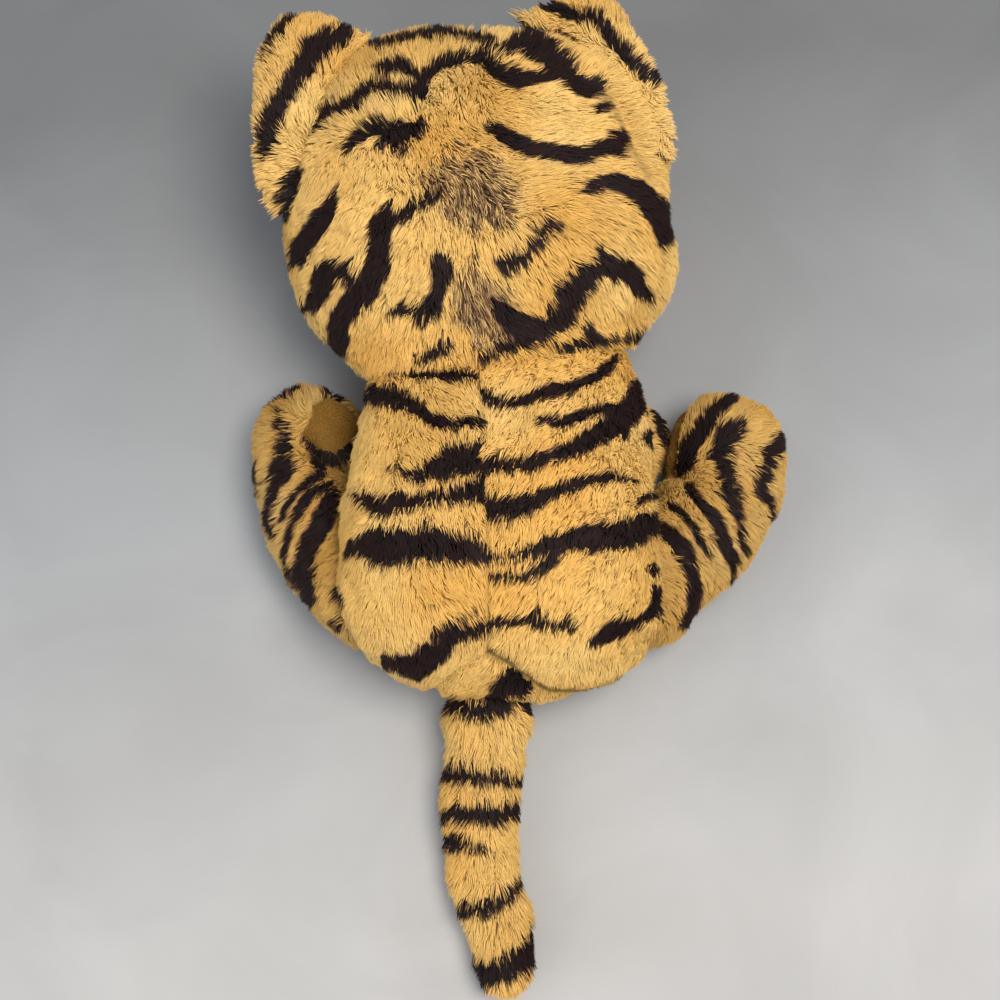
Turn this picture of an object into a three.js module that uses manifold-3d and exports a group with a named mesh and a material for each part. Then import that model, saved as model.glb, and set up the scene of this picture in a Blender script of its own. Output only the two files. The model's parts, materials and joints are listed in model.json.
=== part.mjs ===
// A plush tiger lying on its belly: fur panels sewn over soft stuffing, with sewn-on legs, tail and ears.
// Millimetres. +X is the tiger's right side, +Y runs towards the head, +Z is up, away from the belly.
// The origin is the middle of the flat that the belly rests on.

import * as THREE from "three";
import { mergeVertices } from "three/addons/utils/BufferGeometryUtils.js";
import Module from "manifold-3d";

const wasm = await Module();
wasm.setup();

// Sizes that every piece uses
const coverWall = 3.5; // fabric backing with its pile pressed flat
const seamGap = 0.3; // between sewn pieces, and between a cover and its stuffing
const jointGap = 0.5; // between pieces that move against each other
const restCut = 0.5; // how far a soft form is pressed flat where it rests
const beyond = 500; // size of a cutting block, larger than the tiger
const ringSides = 24; // points round the body and the head
const limbSides = 12;
const ballSides = 20;
const innerShare = 0.6; // of these, inside a cover
const rootShare = 0.94; // a limb's first section, as a share of the barrel that it grows from
const sectionPower = 2.3; // roundness of a stuffed section, 2 is an ellipse

// Body
const bodyWidth = 133;
const bodyHeight = 107;
const rumpBehind = 57; // rump to origin
const rumpHeight = 42; // height of the rump's hindmost point
const sideRound = 38; // length over which the rump rounds off, seen from above
const backRound = 62; // the same over the back
const bellyRound = 28; // the same under the seat
const rumpPower = 2.5;
const backPower = 2;
const neckAhead = 87; // neck seam to origin
const neckHeight = 60; // height of the neck seam's middle
const neckWidth = 110;
const neckTop = 97;
const neckBottom = 31;
const bellyAhead = 14; // where the chest starts to rise
const chestAhead = 54; // where it is clear of the front legs
const sideSeamHeight = 26; // where it leaves the seat
const sideSeamRise = 10; // degrees towards the neck
const seatSeamHeight = 54;
const seatDepth = 34; // rump to the front edge of the seat panel
const seatPeakHeight = 84;
const seatPeakWidth = 56;
const bodyStationShares = [0.012, 0.05, 0.12, 0.22, 0.34, 0.47, 0.6, 0.73, 0.86, 1, 1.18];

// Pellet bag in the seat
const bagWidth = 76;
const bagLength = 52;
const bagHeight = 44;
const bagBehind = 14; // bag's middle to origin
const bagSides = 12;

// Head, in its own frame: origin at the middle of the neck seam
const headTilt = 8; // degrees to the tiger's left, about Z
const neckLean = 18; // degrees that the neck seam leans back
const headWidth = 166;
const headLength = 147; // neck to crown
const cheekAhead = 58; // neck to the widest place
const headNeckWidth = 116;
const headTop = 68; // crown of the back of the head, above the neck's middle
const headFace = 44; // face plane, below the neck's middle
const headNeckTop = 39;
const headNeckBottom = 34;
const headTopAhead = 72;
const headMidHeight = 8; // height of the crown's foremost point above the neck's middle
const headPower = 2.4;
const cheekPower = 2.4;
const faceSeamBelow = 22; // face seam, below the neck's middle
const headStationShares = [-0.14, 0, 0.1, 0.22, 0.36, 0.5, 0.64, 0.77, 0.87, 0.94, 0.985];

// Muzzle, on the face
const muzzleWidth = 70;
const muzzleLength = 54;
const muzzleAhead = 54; // neck to the muzzle's middle
const muzzleHeight = 23; // height of the muzzle's middle above the ground
const muzzleSides = 16;

// Safety eyes and nose
const eyeDiameter = 14;
const eyeDome = 4.5;
const eyeSpread = 62; // between the eyes
const eyeAhead = 88;
const noseWidth = 21;
const noseLength = 14;
const noseDome = 6;
const noseDrop = 39; // degrees from the muzzle's top towards its tip
const shankDiameter = 4;
const shankLength = 12;
const washerDiameter = 11;
const washerThickness = 1.6;
const washerDepth = 8.2; // its inner face, below the fabric's outer face
const fixingSides = 12;

// Ears, in the head's frame
const earWidth = 86;
const earLength = 34; // beyond the head
const earThickness = 13;
const earRoot = 16; // length inside the head's outline before it is cut
const earCup = 6;
const leftEarAside = 61; // middle of its base
const leftEarAhead = 103;
const rightEarAside = 51;
const rightEarAhead = 101;
const earBaseHeight = 38; // above the neck's middle
const earSplay = 32; // degrees up from the tiger's side, seen from above
const earRise = 14; // degrees
const earPower = 2.4;
const earFold = 20; // degrees each way
const earStationShares = [-1, 0, 0.25, 0.5, 0.72, 0.88, 0.97];

// Hind legs
const leftHipAside = 58;
const leftHipBehind = 11;
const rightHipAside = 62;
const rightHipBehind = 8;
const hipDiameter = 46;
const hindLength = 67; // hip to the middle of the toes
const thighHeight = 55;
const hindFootWidth = 46;
const hindFootHeight = 47;
const hindToeLength = 21; // toes beyond that
const hindYaw = { left: -3, right: 9 }; // degrees outwards at rest
const hipSwing = 60; // degrees outwards
const hindPathShares = [
  [0, 0],
  [0.24, 0.28],
  [0.43, 0.66],
  [0.47, 1],
];
const hindStationShares = [0, 0.2, 0.4, 0.6, 0.76, 0.88, 0.96, 0.995];
const soleWidth = 34;
const soleLength = 42;
const soleSides = 14;
const soleShare = 0.97; // along the leg's path
const soleLift = { left: 42, right: -14 }; // degrees above level at which the sole faces the body

// Front legs
const shoulderAside = 21;
const shoulderAhead = 68;
const frontLength = 38; // shoulder to the middle of the paw
const frontRootDiameter = 33;
const pawWidth = 34;
const frontHeight = 34;
const pawHeight = 22; // pressed under the belly
const frontYaw = { left: 80, right: 17 }; // degrees towards the tail at rest
const frontStationShares = [0, 0.35, 0.65, 0.82, 0.94, 0.99];
const hollowShares = [1, 0.8, 0.55, 0.3, 0];

// Tail
const tailAside = -5;
const tailBehind = 68; // tail joint to origin
const tailLength = 113;
const tailRootWidth = 34;
const tailEndWidth = 26;
const tailRootHeight = 24;
const tailFlat = 0.92; // height over width
const tailPathShares = [
  [0, 0],
  [0.3, -0.032],
  [0.6, 0.004],
  [0.8, 0.042],
  [1, 0.066],
];
const tailStationShares = [0, 0.14, 0.28, 0.44, 0.6, 0.76, 0.89, 0.96, 0.995];
const tailDropShare = 0.45; // where it has come down to the ground

// A limb's root, as shares of its radius and height
const barrelShares = [
  [0, 0],
  [0.78, 0],
  [1, 0.24],
  [1, 0.76],
  [0.78, 1],
  [0, 1],
];

// Materials
const golden = new THREE.MeshStandardMaterial({ color: 0xdfae58, roughness: 0.95, metalness: 0 });
const cream = new THREE.MeshStandardMaterial({ color: 0xe9dcc0, roughness: 0.95, metalness: 0 });
const pad = new THREE.MeshStandardMaterial({ color: 0xb9914f, roughness: 0.95, metalness: 0 });
const filling = new THREE.MeshStandardMaterial({ color: 0xf2f1ec, roughness: 0.9, metalness: 0 });
const bagCloth = new THREE.MeshStandardMaterial({ color: 0xd8d4c8, roughness: 0.9, metalness: 0 });
const darkPlastic = new THREE.MeshStandardMaterial({ color: 0x1c1310, roughness: 0.2, metalness: 0 });
const washerPlastic = new THREE.MeshStandardMaterial({ color: 0xdcdcd6, roughness: 0.5, metalness: 0 });

const tiger = new THREE.Group();
const zAxis = new THREE.Vector3(0, 0, 1);
const radians = THREE.MathUtils.degToRad;

// Solids

function solid(geometry) {
  const bare = geometry.clone();
  bare.deleteAttribute("normal");
  bare.deleteAttribute("uv");
  const merged = mergeVertices(bare);
  return new wasm.Manifold(
    new wasm.Mesh({
      numProp: 3,
      vertProperties: new Float32Array(merged.attributes.position.array),
      triVerts: new Uint32Array(merged.index.array),
    })
  );
}

function geometryOf(manifold) {
  const mesh = manifold.getMesh();
  const geometry = new THREE.BufferGeometry();
  geometry.setAttribute("position", new THREE.BufferAttribute(mesh.vertProperties, 3));
  geometry.setIndex(new THREE.BufferAttribute(mesh.triVerts, 1));
  return geometry;
}

// A closed skin over rings of points; a ring of one point is a pole.
function loft(rings) {
  const positions = [];
  const starts = rings.map((ring) => {
    const start = positions.length / 3;
    ring.forEach((p) => positions.push(p.x, p.y, p.z));
    return start;
  });
  const triangles = [];
  for (let i = 0; i + 1 < rings.length; i++) {
    const n = Math.max(rings[i].length, rings[i + 1].length);
    const near = (j) => starts[i] + (rings[i].length === 1 ? 0 : j % n);
    const far = (j) => starts[i + 1] + (rings[i + 1].length === 1 ? 0 : j % n);
    for (let j = 0; j < n; j++) {
      if (rings[i].length > 1) triangles.push(near(j), far(j), near(j + 1));
      if (rings[i + 1].length > 1) triangles.push(near(j + 1), far(j), far(j + 1));
    }
  }
  [0, rings.length - 1].forEach((end) => {
    const ring = rings[end];
    if (ring.length === 1) return;
    const middle = positions.length / 3;
    const centre = ring.reduce((sum, p) => sum.add(p), new THREE.Vector3()).divideScalar(ring.length);
    positions.push(centre.x, centre.y, centre.z);
    ring.forEach((_, j) => {
      const a = starts[end] + j;
      const b = starts[end] + ((j + 1) % ring.length);
      triangles.push(middle, end === 0 ? a : b, end === 0 ? b : a);
    });
  });
  const geometry = new THREE.BufferGeometry();
  geometry.setAttribute("position", new THREE.Float32BufferAttribute(positions, 3));
  geometry.setIndex(triangles);
  return geometry;
}

// One rounded section. Its points run from the side, over the top, round to the underside.
function section(centre, side, up, halfWidth, above, below, sides) {
  return Array.from({ length: sides }, (_, j) => {
    const angle = (2 * Math.PI * (j + 0.5)) / sides;
    const across = Math.sign(Math.cos(angle)) * Math.abs(Math.cos(angle)) ** (2 / sectionPower);
    const over = Math.sign(Math.sin(angle)) * Math.abs(Math.sin(angle)) ** (2 / sectionPower);
    return centre
      .clone()
      .addScaledVector(side, across * halfWidth)
      .addScaledVector(up, over * (over > 0 ? above : below));
  });
}

// Fewer points do for what a cover hides
function sidesFor(sides, inset) {
  return Math.abs(inset) >= coverWall ? 2 * Math.round((sides * innerShare) / 2) : sides;
}

// 1 at share 0, falling to 0 at share 1 as a superellipse does
function rounded(share, power) {
  return (1 - Math.min(Math.max(share, 0), 1) ** power) ** (1 / power);
}

function eased(share) {
  const t = Math.min(Math.max(share, 0), 1);
  return t * t * (3 - 2 * t);
}

function ellipsoid(centre, width, length, height, sides) {
  const geometry = new THREE.SphereGeometry(0.5, sides, sides / 2);
  return geometry.rotateX(Math.PI / 2).scale(width, length, height).translate(centre.x, centre.y, centre.z);
}

function block(x0, x1, y0, y1, z0, z1) {
  return new THREE.BoxGeometry(x1 - x0, y1 - y0, z1 - z0).translate((x0 + x1) / 2, (y0 + y1) / 2, (z0 + z1) / 2);
}

const below = (z) => solid(block(-beyond, beyond, -beyond, beyond, -beyond, z));
const above = (z) => solid(block(-beyond, beyond, -beyond, beyond, z, beyond));

function turnedAbout(geometry, pivot, axis, degrees) {
  const matrix = new THREE.Matrix4()
    .makeTranslation(pivot)
    .multiply(new THREE.Matrix4().makeRotationAxis(axis, radians(degrees)))
    .multiply(new THREE.Matrix4().makeTranslation(pivot.clone().negate()));
  return geometry.clone().applyMatrix4(matrix);
}

// The form less what the parent sweeps through it as the form turns about the pivot
function clearOf(form, parent, pivot, axis, angles) {
  return angles.reduce((rest, angle) => rest.subtract(solid(turnedAbout(parent, pivot, axis, -angle))), form);
}

function addPiece(name, manifold, material, parent = tiger) {
  const mesh = new THREE.Mesh(geometryOf(manifold), material);
  mesh.name = name;
  parent.add(mesh);
}

// Body form

const bodyLength = rumpBehind + neckAhead;

function bodyForm(inset) {
  const rings = [[new THREE.Vector3(0, -rumpBehind + inset, rumpHeight)]];
  for (const share of bodyStationShares) {
    const y = -rumpBehind + inset + share * (bodyLength - inset);
    const behind = -rumpBehind + inset;
    const ahead = eased(y / neckAhead);
    const widthRound = rounded(1 - (y - behind) / (sideRound - inset), rumpPower);
    const topRound = rounded(1 - (y - behind) / (backRound - inset), backPower);
    const bottomRound = rounded(1 - (y - behind) / (bellyRound - inset), backPower);
    const halfWidth = ((bodyWidth + (neckWidth - bodyWidth) * ahead) / 2 - inset) * widthRound;
    const top = bodyHeight + (neckTop - bodyHeight) * ahead - inset;
    const chest = eased((y - bellyAhead) / (chestAhead - bellyAhead));
    const bottom = -restCut + (neckBottom + restCut) * chest + inset;
    const middle = rumpHeight + (neckHeight - rumpHeight) * eased((y - behind) / backRound);
    rings.push(
      section(
        new THREE.Vector3(0, y, middle),
        new THREE.Vector3(1, 0, 0),
        zAxis,
        halfWidth,
        (top - middle) * topRound,
        (middle - bottom) * bottomRound,
        sidesFor(ringSides, inset)
      )
    );
  }
  return loft(rings);
}

// The body's outline from above, grown and drawn straight up
function bodySide(grow) {
  const outline = bodyStationShares.map((share) => {
    const y = -rumpBehind + share * bodyLength;
    const ahead = eased(y / neckAhead);
    const round = rounded(1 - (y + rumpBehind) / sideRound, rumpPower);
    return new THREE.Vector2(((bodyWidth + (neckWidth - bodyWidth) * ahead) / 2) * round + grow, y);
  });
  const mirrored = outline.map((p) => new THREE.Vector2(-p.x, p.y)).reverse();
  const shape = new THREE.Shape([new THREE.Vector2(0, -rumpBehind - grow), ...outline, ...mirrored]);
  return new THREE.ExtrudeGeometry(shape, { depth: beyond, bevelEnabled: false }).translate(0, 0, -beyond / 2);
}

// Head form and its frame

const neck = new THREE.Vector3(0, neckAhead, neckHeight);
const headFrame = new THREE.Matrix4().makeTranslation(neck).multiply(new THREE.Matrix4().makeRotationZ(radians(headTilt)));
const neckAxis = new THREE.Vector3(0, Math.cos(radians(neckLean)), Math.sin(radians(neckLean)));
neckAxis.transformDirection(headFrame);

function headForm(inset) {
  const length = headLength - inset;
  const rings = [];
  for (const share of headStationShares) {
    const y = share * length;
    const front = rounded((y - cheekAhead) / (length - cheekAhead), headPower);
    const crown = rounded((y - headTopAhead) / (length - headTopAhead), headPower);
    const back = 1 - (1 - Math.min(Math.max(y / cheekAhead, 0), 1)) ** cheekPower;
    const halfWidth = ((headNeckWidth + (headWidth - headNeckWidth) * back) / 2 - inset) * front;
    const middle = headMidHeight * eased(y / headTopAhead);
    const top = headNeckTop + (headTop - headNeckTop) * back - inset;
    const bottom = headNeckBottom + (headFace - headNeckBottom) * back - inset;
    rings.push(
      section(
        new THREE.Vector3(0, y, middle),
        new THREE.Vector3(1, 0, 0),
        zAxis,
        halfWidth,
        (top - middle) * crown,
        (bottom + middle) * crown,
        sidesFor(ringSides, inset)
      )
    );
  }
  rings.push([new THREE.Vector3(0, length, headMidHeight)]);
  return loft(rings).applyMatrix4(headFrame);
}

// Everything on the head's side of the neck seam
function headSide(offset) {
  const geometry = block(-beyond, beyond, offset, beyond, -beyond, beyond);
  geometry.rotateX(radians(neckLean)).applyMatrix4(headFrame);
  return solid(geometry);
}

const muzzleCentre = new THREE.Vector3(0, muzzleAhead, muzzleHeight - neckHeight);

function muzzleForm(inset) {
  const size = [muzzleWidth, muzzleLength, 2 * (muzzleHeight + restCut)].map((value) => value - 2 * inset);
  return ellipsoid(muzzleCentre, ...size, sidesFor(muzzleSides, inset)).applyMatrix4(headFrame);
}

// A plastic eye or nose: dome, shank through the fabric, and the washer that holds it inside
function fixing(place, direction, width, length, dome) {
  const frame = new THREE.Matrix4().makeTranslation(place);
  const turn = new THREE.Quaternion().setFromUnitVectors(zAxis, direction);
  frame.multiply(new THREE.Matrix4().makeRotationFromQuaternion(turn));
  const disc = (diameter, from, to) =>
    solid(
      new THREE.CylinderGeometry(diameter / 2, diameter / 2, to - from, fixingSides)
        .rotateX(Math.PI / 2)
        .translate(0, 0, (from + to) / 2)
        .applyMatrix4(frame)
    );
  const cap = solid(ellipsoid(new THREE.Vector3(), width, length, 2 * dome, fixingSides).applyMatrix4(frame));
  const washer = disc(washerDiameter, -washerDepth, -washerDepth + washerThickness);
  return {
    cap,
    shank: disc(shankDiameter, -shankLength, dome / 2),
    hole: disc(shankDiameter + 2 * seamGap, -shankLength - seamGap, dome),
    washer: washer.subtract(disc(shankDiameter + 2 * seamGap, -shankLength, 0)),
    pocket: disc(washerDiameter + 2 * seamGap, -washerDepth - seamGap, -washerDepth + washerThickness + seamGap),
  };
}

// Ear halves: fur back and face side, in the head's frame, reaching into the head before they are cut

const earAside = { left: -leftEarAside, right: rightEarAside };
const earAhead = { left: leftEarAhead, right: rightEarAhead };

function earFrame(side, mirror) {
  const frame = headFrame.clone();
  frame.multiply(new THREE.Matrix4().makeTranslation(earAside[side], earAhead[side], earBaseHeight));
  frame.multiply(new THREE.Matrix4().makeRotationZ(-mirror * radians(90 - earSplay)));
  frame.multiply(new THREE.Matrix4().makeRotationX(radians(earRise)));
  return frame;
}

function earHalf(frame, face) {
  const rings = earStationShares.map((share) => {
    const y = share < 0 ? share * earRoot : share * earLength;
    const halfWidth = (earWidth / 2) * rounded(share, earPower);
    const thick = (earThickness / 2) * rounded(share, 2 * earPower) - seamGap / 2;
    const sides = limbSides / 2;
    const bend = (x) => -earCup * ((2 * x) / earWidth) ** 2;
    const flat = Array.from({ length: sides + 1 }, (_, j) => -Math.cos((Math.PI * j) / sides) * halfWidth);
    const arc = flat.map((x) => {
      const over = thick * rounded(Math.abs(x) / halfWidth, sectionPower);
      return new THREE.Vector3(x, y, bend(x) + face * (seamGap / 2 + over));
    });
    const inner = flat.slice(1, -1).map((x) => new THREE.Vector3(x, y, bend(x) + (face * seamGap) / 2));
    const ring = [...arc, ...inner.reverse()];
    return face > 0 ? ring.reverse() : ring;
  });
  return solid(loft(rings).applyMatrix4(frame));
}

// Limbs: sections along a path that lies level

function limbForm(path, stations, inset, sizeAt) {
  const curve = new THREE.CatmullRomCurve3(path);
  const length = curve.getLength();
  const rings = stations.map((share) => {
    const u = Math.min(share, 1 - inset / length);
    const point = curve.getPointAt(u);
    const side = curve.getTangentAt(u).cross(zAxis);
    const { halfWidth, top, bottom } = sizeAt(share);
    const middle = (top + bottom) / 2;
    point.z = middle;
    return section(point, side, zAxis, halfWidth, top - middle, middle - bottom, sidesFor(limbSides, inset));
  });
  return loft(rings);
}

// The level width and the height of a stuffed limb that is pressed flat on the ground
function limbSize(width, height, inset, round) {
  const middle = height / 2;
  return {
    halfWidth: (width / 2 - inset) * round,
    top: middle + (middle - inset) * round,
    bottom: middle - (middle + restCut - inset) * round,
  };
}

function hindForm(mirror, inset) {
  const full = hindLength + hindToeLength;
  const path = hindPathShares.map(([x, y]) => new THREE.Vector3(mirror * x * hindLength, y * hindLength, 0));
  path.push(path.at(-1).clone().add(new THREE.Vector3(0, hindToeLength, 0)));
  return limbForm(path, hindStationShares, inset, (share) => {
    const root = rootShare + (1 - rootShare) * eased(share);
    const width = (hipDiameter + (hindFootWidth - hipDiameter) * eased(share)) * root;
    const height = (thighHeight + (hindFootHeight - thighHeight) * eased(share)) * root;
    return limbSize(width, height, inset, rounded((share - hindLength / full) / (hindToeLength / full), sectionPower));
  });
}

const frontFull = frontLength + pawWidth / 2;

function frontForm(mirror, inset) {
  const path = [0, frontLength / 2, frontLength, frontFull].map((x) => new THREE.Vector3(mirror * x, 0, 0));
  return limbForm(path, frontStationShares, inset, (share) => {
    const root = rootShare + (1 - rootShare) * eased(share);
    const width = (frontRootDiameter + (pawWidth - frontRootDiameter) * eased(share)) * root;
    const round = rounded((share - frontLength / frontFull) / (1 - frontLength / frontFull), sectionPower);
    return limbSize(width, frontTop(share) * root, inset, round);
  });
}

// The height of a front leg at a share of its length, and the hollow under the chest that it swings in
function frontTop(share) {
  return frontHeight - (frontHeight - pawHeight) * share ** 2;
}

function frontHollow(grow) {
  const reach = frontFull + grow;
  const roof = hollowShares.map((share) => new THREE.Vector2(share * reach, frontTop(share) + grow));
  const profile = [new THREE.Vector2(0, -beyond), new THREE.Vector2(reach, -beyond), ...roof];
  return new THREE.LatheGeometry(profile, sidesFor(ringSides, grow)).rotateX(Math.PI / 2);
}

function tailForm(inset) {
  const path = tailPathShares.map(([along, aside]) => new THREE.Vector3(aside * tailLength, -along * tailLength, 0));
  return limbForm(path, tailStationShares, inset, (share) => {
    const root = rootShare + (1 - rootShare) * eased(share);
    const width = (tailRootWidth + (tailEndWidth - tailRootWidth) * share) * root;
    const tipShare = width / 2 / tailLength;
    const size = limbSize(width, width * tailFlat, inset, rounded((share - 1) / tipShare + 1, sectionPower));
    const lift = (tailRootHeight - (tailRootWidth * tailFlat) / 2) * (1 - eased(share / tailDropShare));
    return { halfWidth: size.halfWidth, top: size.top + lift, bottom: size.bottom + lift };
  });
}

// A limb's root: a barrel with an upright axis, which turns in a socket of the same outline
function barrel(diameter, from, to, grow) {
  const low = from - grow;
  const tall = to - from + 2 * grow;
  const profile = barrelShares.map(([r, z]) => new THREE.Vector2(r * (diameter / 2 + grow), low + z * tall));
  return new THREE.LatheGeometry(profile, sidesFor(ballSides, grow)).rotateX(Math.PI / 2);
}

const ground = above(0);
const mirrors = { left: -1, right: 1 };
const hips = {
  left: new THREE.Vector3(-leftHipAside, -leftHipBehind, 0),
  right: new THREE.Vector3(rightHipAside, -rightHipBehind, 0),
};

// Each limb: its joint, its angle at rest, its forms at a given inset, the height of its seam,
// and the angles at which it has to be cut clear of the body's side
const limbs = [
  {
    name: "tail",
    pivot: new THREE.Vector3(tailAside, -tailBehind, 0),
    yaw: 0,
    form: (inset) => tailForm(inset),
    root: (grow) => {
      const half = (tailRootWidth * tailFlat) / 2;
      return barrel(tailRootWidth, tailRootHeight - half, tailRootHeight + half, grow);
    },
    seam: (tailEndWidth * tailFlat) / 2,
  },
];
for (const [side, mirror] of Object.entries(mirrors)) {
  limbs.push({
    name: `hind_leg_${side}`,
    pivot: hips[side],
    yaw: -mirror * hindYaw[side],
    form: (inset) => hindForm(mirror, inset),
    root: (grow) => barrel(hipDiameter, 0, thighHeight, grow),
    clearAt: [0, -mirror * hipSwing],
    seam: thighHeight / 2,
    sole: (grow) => solePatch(mirror, soleLift[side], grow),
  });
  limbs.push({
    name: `front_leg_${side}`,
    pivot: new THREE.Vector3(mirror * shoulderAside, shoulderAhead, 0),
    yaw: -mirror * frontYaw[side],
    form: (inset) => frontForm(mirror, inset),
    root: (grow) => barrel(frontRootDiameter, 0, frontTop(frontRootDiameter / 2 / frontFull), grow),
    socket: frontHollow,
    seam: frontHeight / 2,
  });
}

// The region of the foot that the sole covers, on the side that faces the body
function solePatch(mirror, lift, grow) {
  const toe = hindPathShares.at(-1);
  return new THREE.CylinderGeometry(0.5, 0.5, 1, soleSides)
    .rotateX(Math.PI / 2)
    .scale(soleWidth + 2 * grow, soleLength + 2 * grow, hindFootWidth)
    .translate(0, 0, hindFootWidth / 2)
    .rotateY(-mirror * radians(90 - lift))
    .translate(mirror * toe[0] * hindLength, soleShare * hindLength, hindFootHeight / 2);
}

// Body: the forms, with a socket for each limb

const headCut = headSide(-seamGap / 2);
let bodyOuter = solid(bodyForm(0)).intersect(ground).subtract(headCut);
let bodyInner = solid(bodyForm(coverWall));
let bodyFill = solid(bodyForm(coverWall + seamGap)).subtract(headCut);

for (const limb of limbs) {
  const place = (geometry) =>
    solid(geometry.rotateZ(radians(limb.yaw)).translate(limb.pivot.x, limb.pivot.y, 0));
  const socket = limb.socket ?? limb.root;
  bodyOuter = bodyOuter.subtract(place(socket(jointGap)));
  bodyInner = bodyInner.subtract(place(socket(jointGap + coverWall)));
  bodyFill = bodyFill.subtract(place(socket(jointGap + coverWall + seamGap)));

  const skin = (inset) =>
    clearOf(place(limb.form(inset)), bodySide(jointGap + inset), limb.pivot, zAxis, limb.clearAt ?? [])
      .add(place(limb.root(-inset)))
      .intersect(above(inset));
  let cover = skin(0).subtract(skin(coverWall));
  if (limb.sole) {
    addPiece(`${limb.name}_sole`, cover.intersect(place(limb.sole(0))), pad);
    cover = cover.subtract(place(limb.sole(seamGap)));
  }
  addPiece(`${limb.name}_upper_panel`, cover.intersect(above(limb.seam + seamGap / 2)), golden);
  addPiece(`${limb.name}_lower_panel`, cover.intersect(below(limb.seam - seamGap / 2)), golden);
  addPiece(`${limb.name}_stuffing`, skin(coverWall + seamGap), filling);
}

// Body panels: two over the back, one under the seat with a peak above the tail, one on the belly

const bodyCover = bodyOuter.subtract(bodyInner);

function seatRegion(grow) {
  const front = -rumpBehind + seatDepth + grow;
  const low = solid(block(-beyond, beyond, -beyond, front, -beyond, seatSeamHeight + grow));
  const peak = new THREE.Shape([
    new THREE.Vector2(-seatPeakWidth / 2 - grow, 0),
    new THREE.Vector2(seatPeakWidth / 2 + grow, 0),
    new THREE.Vector2(0, seatPeakHeight + 2 * grow),
  ]);
  const wedge = new THREE.ExtrudeGeometry(peak, { depth: beyond, bevelEnabled: false });
  return low.add(solid(wedge.rotateX(Math.PI / 2).translate(0, front, 0)));
}

const seat = seatRegion(0);
const upper = bodyCover.subtract(seatRegion(seamGap));
const alongSideSeam = (geometry) =>
  solid(geometry.rotateX(radians(sideSeamRise)).translate(0, seatDepth - rumpBehind, sideSeamHeight));
const belly = alongSideSeam(block(-beyond, beyond, -beyond, beyond, -beyond, -seamGap / 2));
const back = upper.intersect(alongSideSeam(block(-beyond, beyond, -beyond, beyond, seamGap / 2, beyond)));
addPiece("seat_panel", bodyCover.intersect(seat), golden);
addPiece("belly_panel", upper.intersect(belly), golden);
const leftOf = (x) => solid(block(-beyond, x, -beyond, beyond, -beyond, beyond));
const rightOf = (x) => solid(block(x, beyond, -beyond, beyond, -beyond, beyond));
addPiece("back_panel_left", back.intersect(leftOf(-seamGap / 2)), golden);
addPiece("back_panel_right", back.intersect(rightOf(seamGap / 2)), golden);

const bagMiddle = new THREE.Vector3(0, -bagBehind, bagHeight / 2);
const bag = (grow) => solid(ellipsoid(bagMiddle, bagWidth + grow, bagLength + grow, bagHeight + grow, bagSides));
addPiece("pellet_bag", bodyFill.intersect(bag(0)), bagCloth);
addPiece("body_stuffing", bodyFill.subtract(bag(2 * seamGap)), filling);

// Head: panels over one stuffing, which fills the muzzle too

const neckCut = headSide(seamGap / 2);
const onHead = (geometry) => solid(geometry.applyMatrix4(headFrame));
const headOuter = solid(headForm(0)).intersect(neckCut);
let headCover = headOuter.subtract(solid(headForm(coverWall)));
let muzzleCover = solid(muzzleForm(0))
  .intersect(ground)
  .subtract(solid(muzzleForm(coverWall)).intersect(above(coverWall)))
  .subtract(solid(headForm(-seamGap)));
let headFill = solid(headForm(coverWall + seamGap))
  .intersect(neckCut)
  .add(solid(muzzleForm(coverWall + seamGap)).intersect(above(coverWall + seamGap)));
headCover = headCover.subtract(solid(muzzleForm(coverWall)));

// A fixing sits square on the form, where a line from inside it, in the head's frame, comes out
function addFixing(name, from, outward, form, width, length, dome) {
  const mesh = new THREE.Mesh(form(0), new THREE.MeshBasicMaterial({ side: THREE.DoubleSide }));
  const origin = from.clone().applyMatrix4(headFrame);
  const hit = new THREE.Raycaster(origin, outward.clone().transformDirection(headFrame)).intersectObject(mesh)[0];
  const parts = fixing(hit.point, hit.face.normal, width, length, dome);
  const cap = parts.cap.subtract(solid(headForm(-seamGap))).subtract(solid(muzzleForm(-seamGap)));
  addPiece(name, cap.add(parts.shank), darkPlastic);
  addPiece(`${name}_washer`, parts.washer, washerPlastic);
  const room = parts.hole.add(parts.pocket);
  headCover = headCover.subtract(room);
  muzzleCover = muzzleCover.subtract(room);
  headFill = headFill.subtract(room);
}

for (const [side, mirror] of Object.entries(mirrors)) {
  const place = new THREE.Vector3((mirror * eyeSpread) / 2, eyeAhead, 0);
  addFixing(`eye_${side}`, place, zAxis.clone().negate(), headForm, eyeDiameter, eyeDiameter, eyeDome);
}
const noseTurn = new THREE.Vector3(0, Math.cos(radians(noseDrop)), -Math.sin(radians(noseDrop)));
addFixing("nose", muzzleCentre, noseTurn, muzzleForm, noseWidth, noseLength, noseDome);

// Ears: two fur halves each, sewn along the head and able to fold

for (const [side, mirror] of Object.entries(mirrors)) {
  const frame = earFrame(side, mirror);
  const pivot = new THREE.Vector3().applyMatrix4(frame);
  const axis = new THREE.Vector3(1, 0, 0).transformDirection(frame);
  for (const [half, face] of Object.entries({ back: 1, front: -1 })) {
    const piece = clearOf(earHalf(frame, face), headForm(-jointGap), pivot, axis, [-earFold, 0, earFold]);
    addPiece(`ear_${side}_${half}`, piece, half === "back" ? golden : cream);
  }
}

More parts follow.
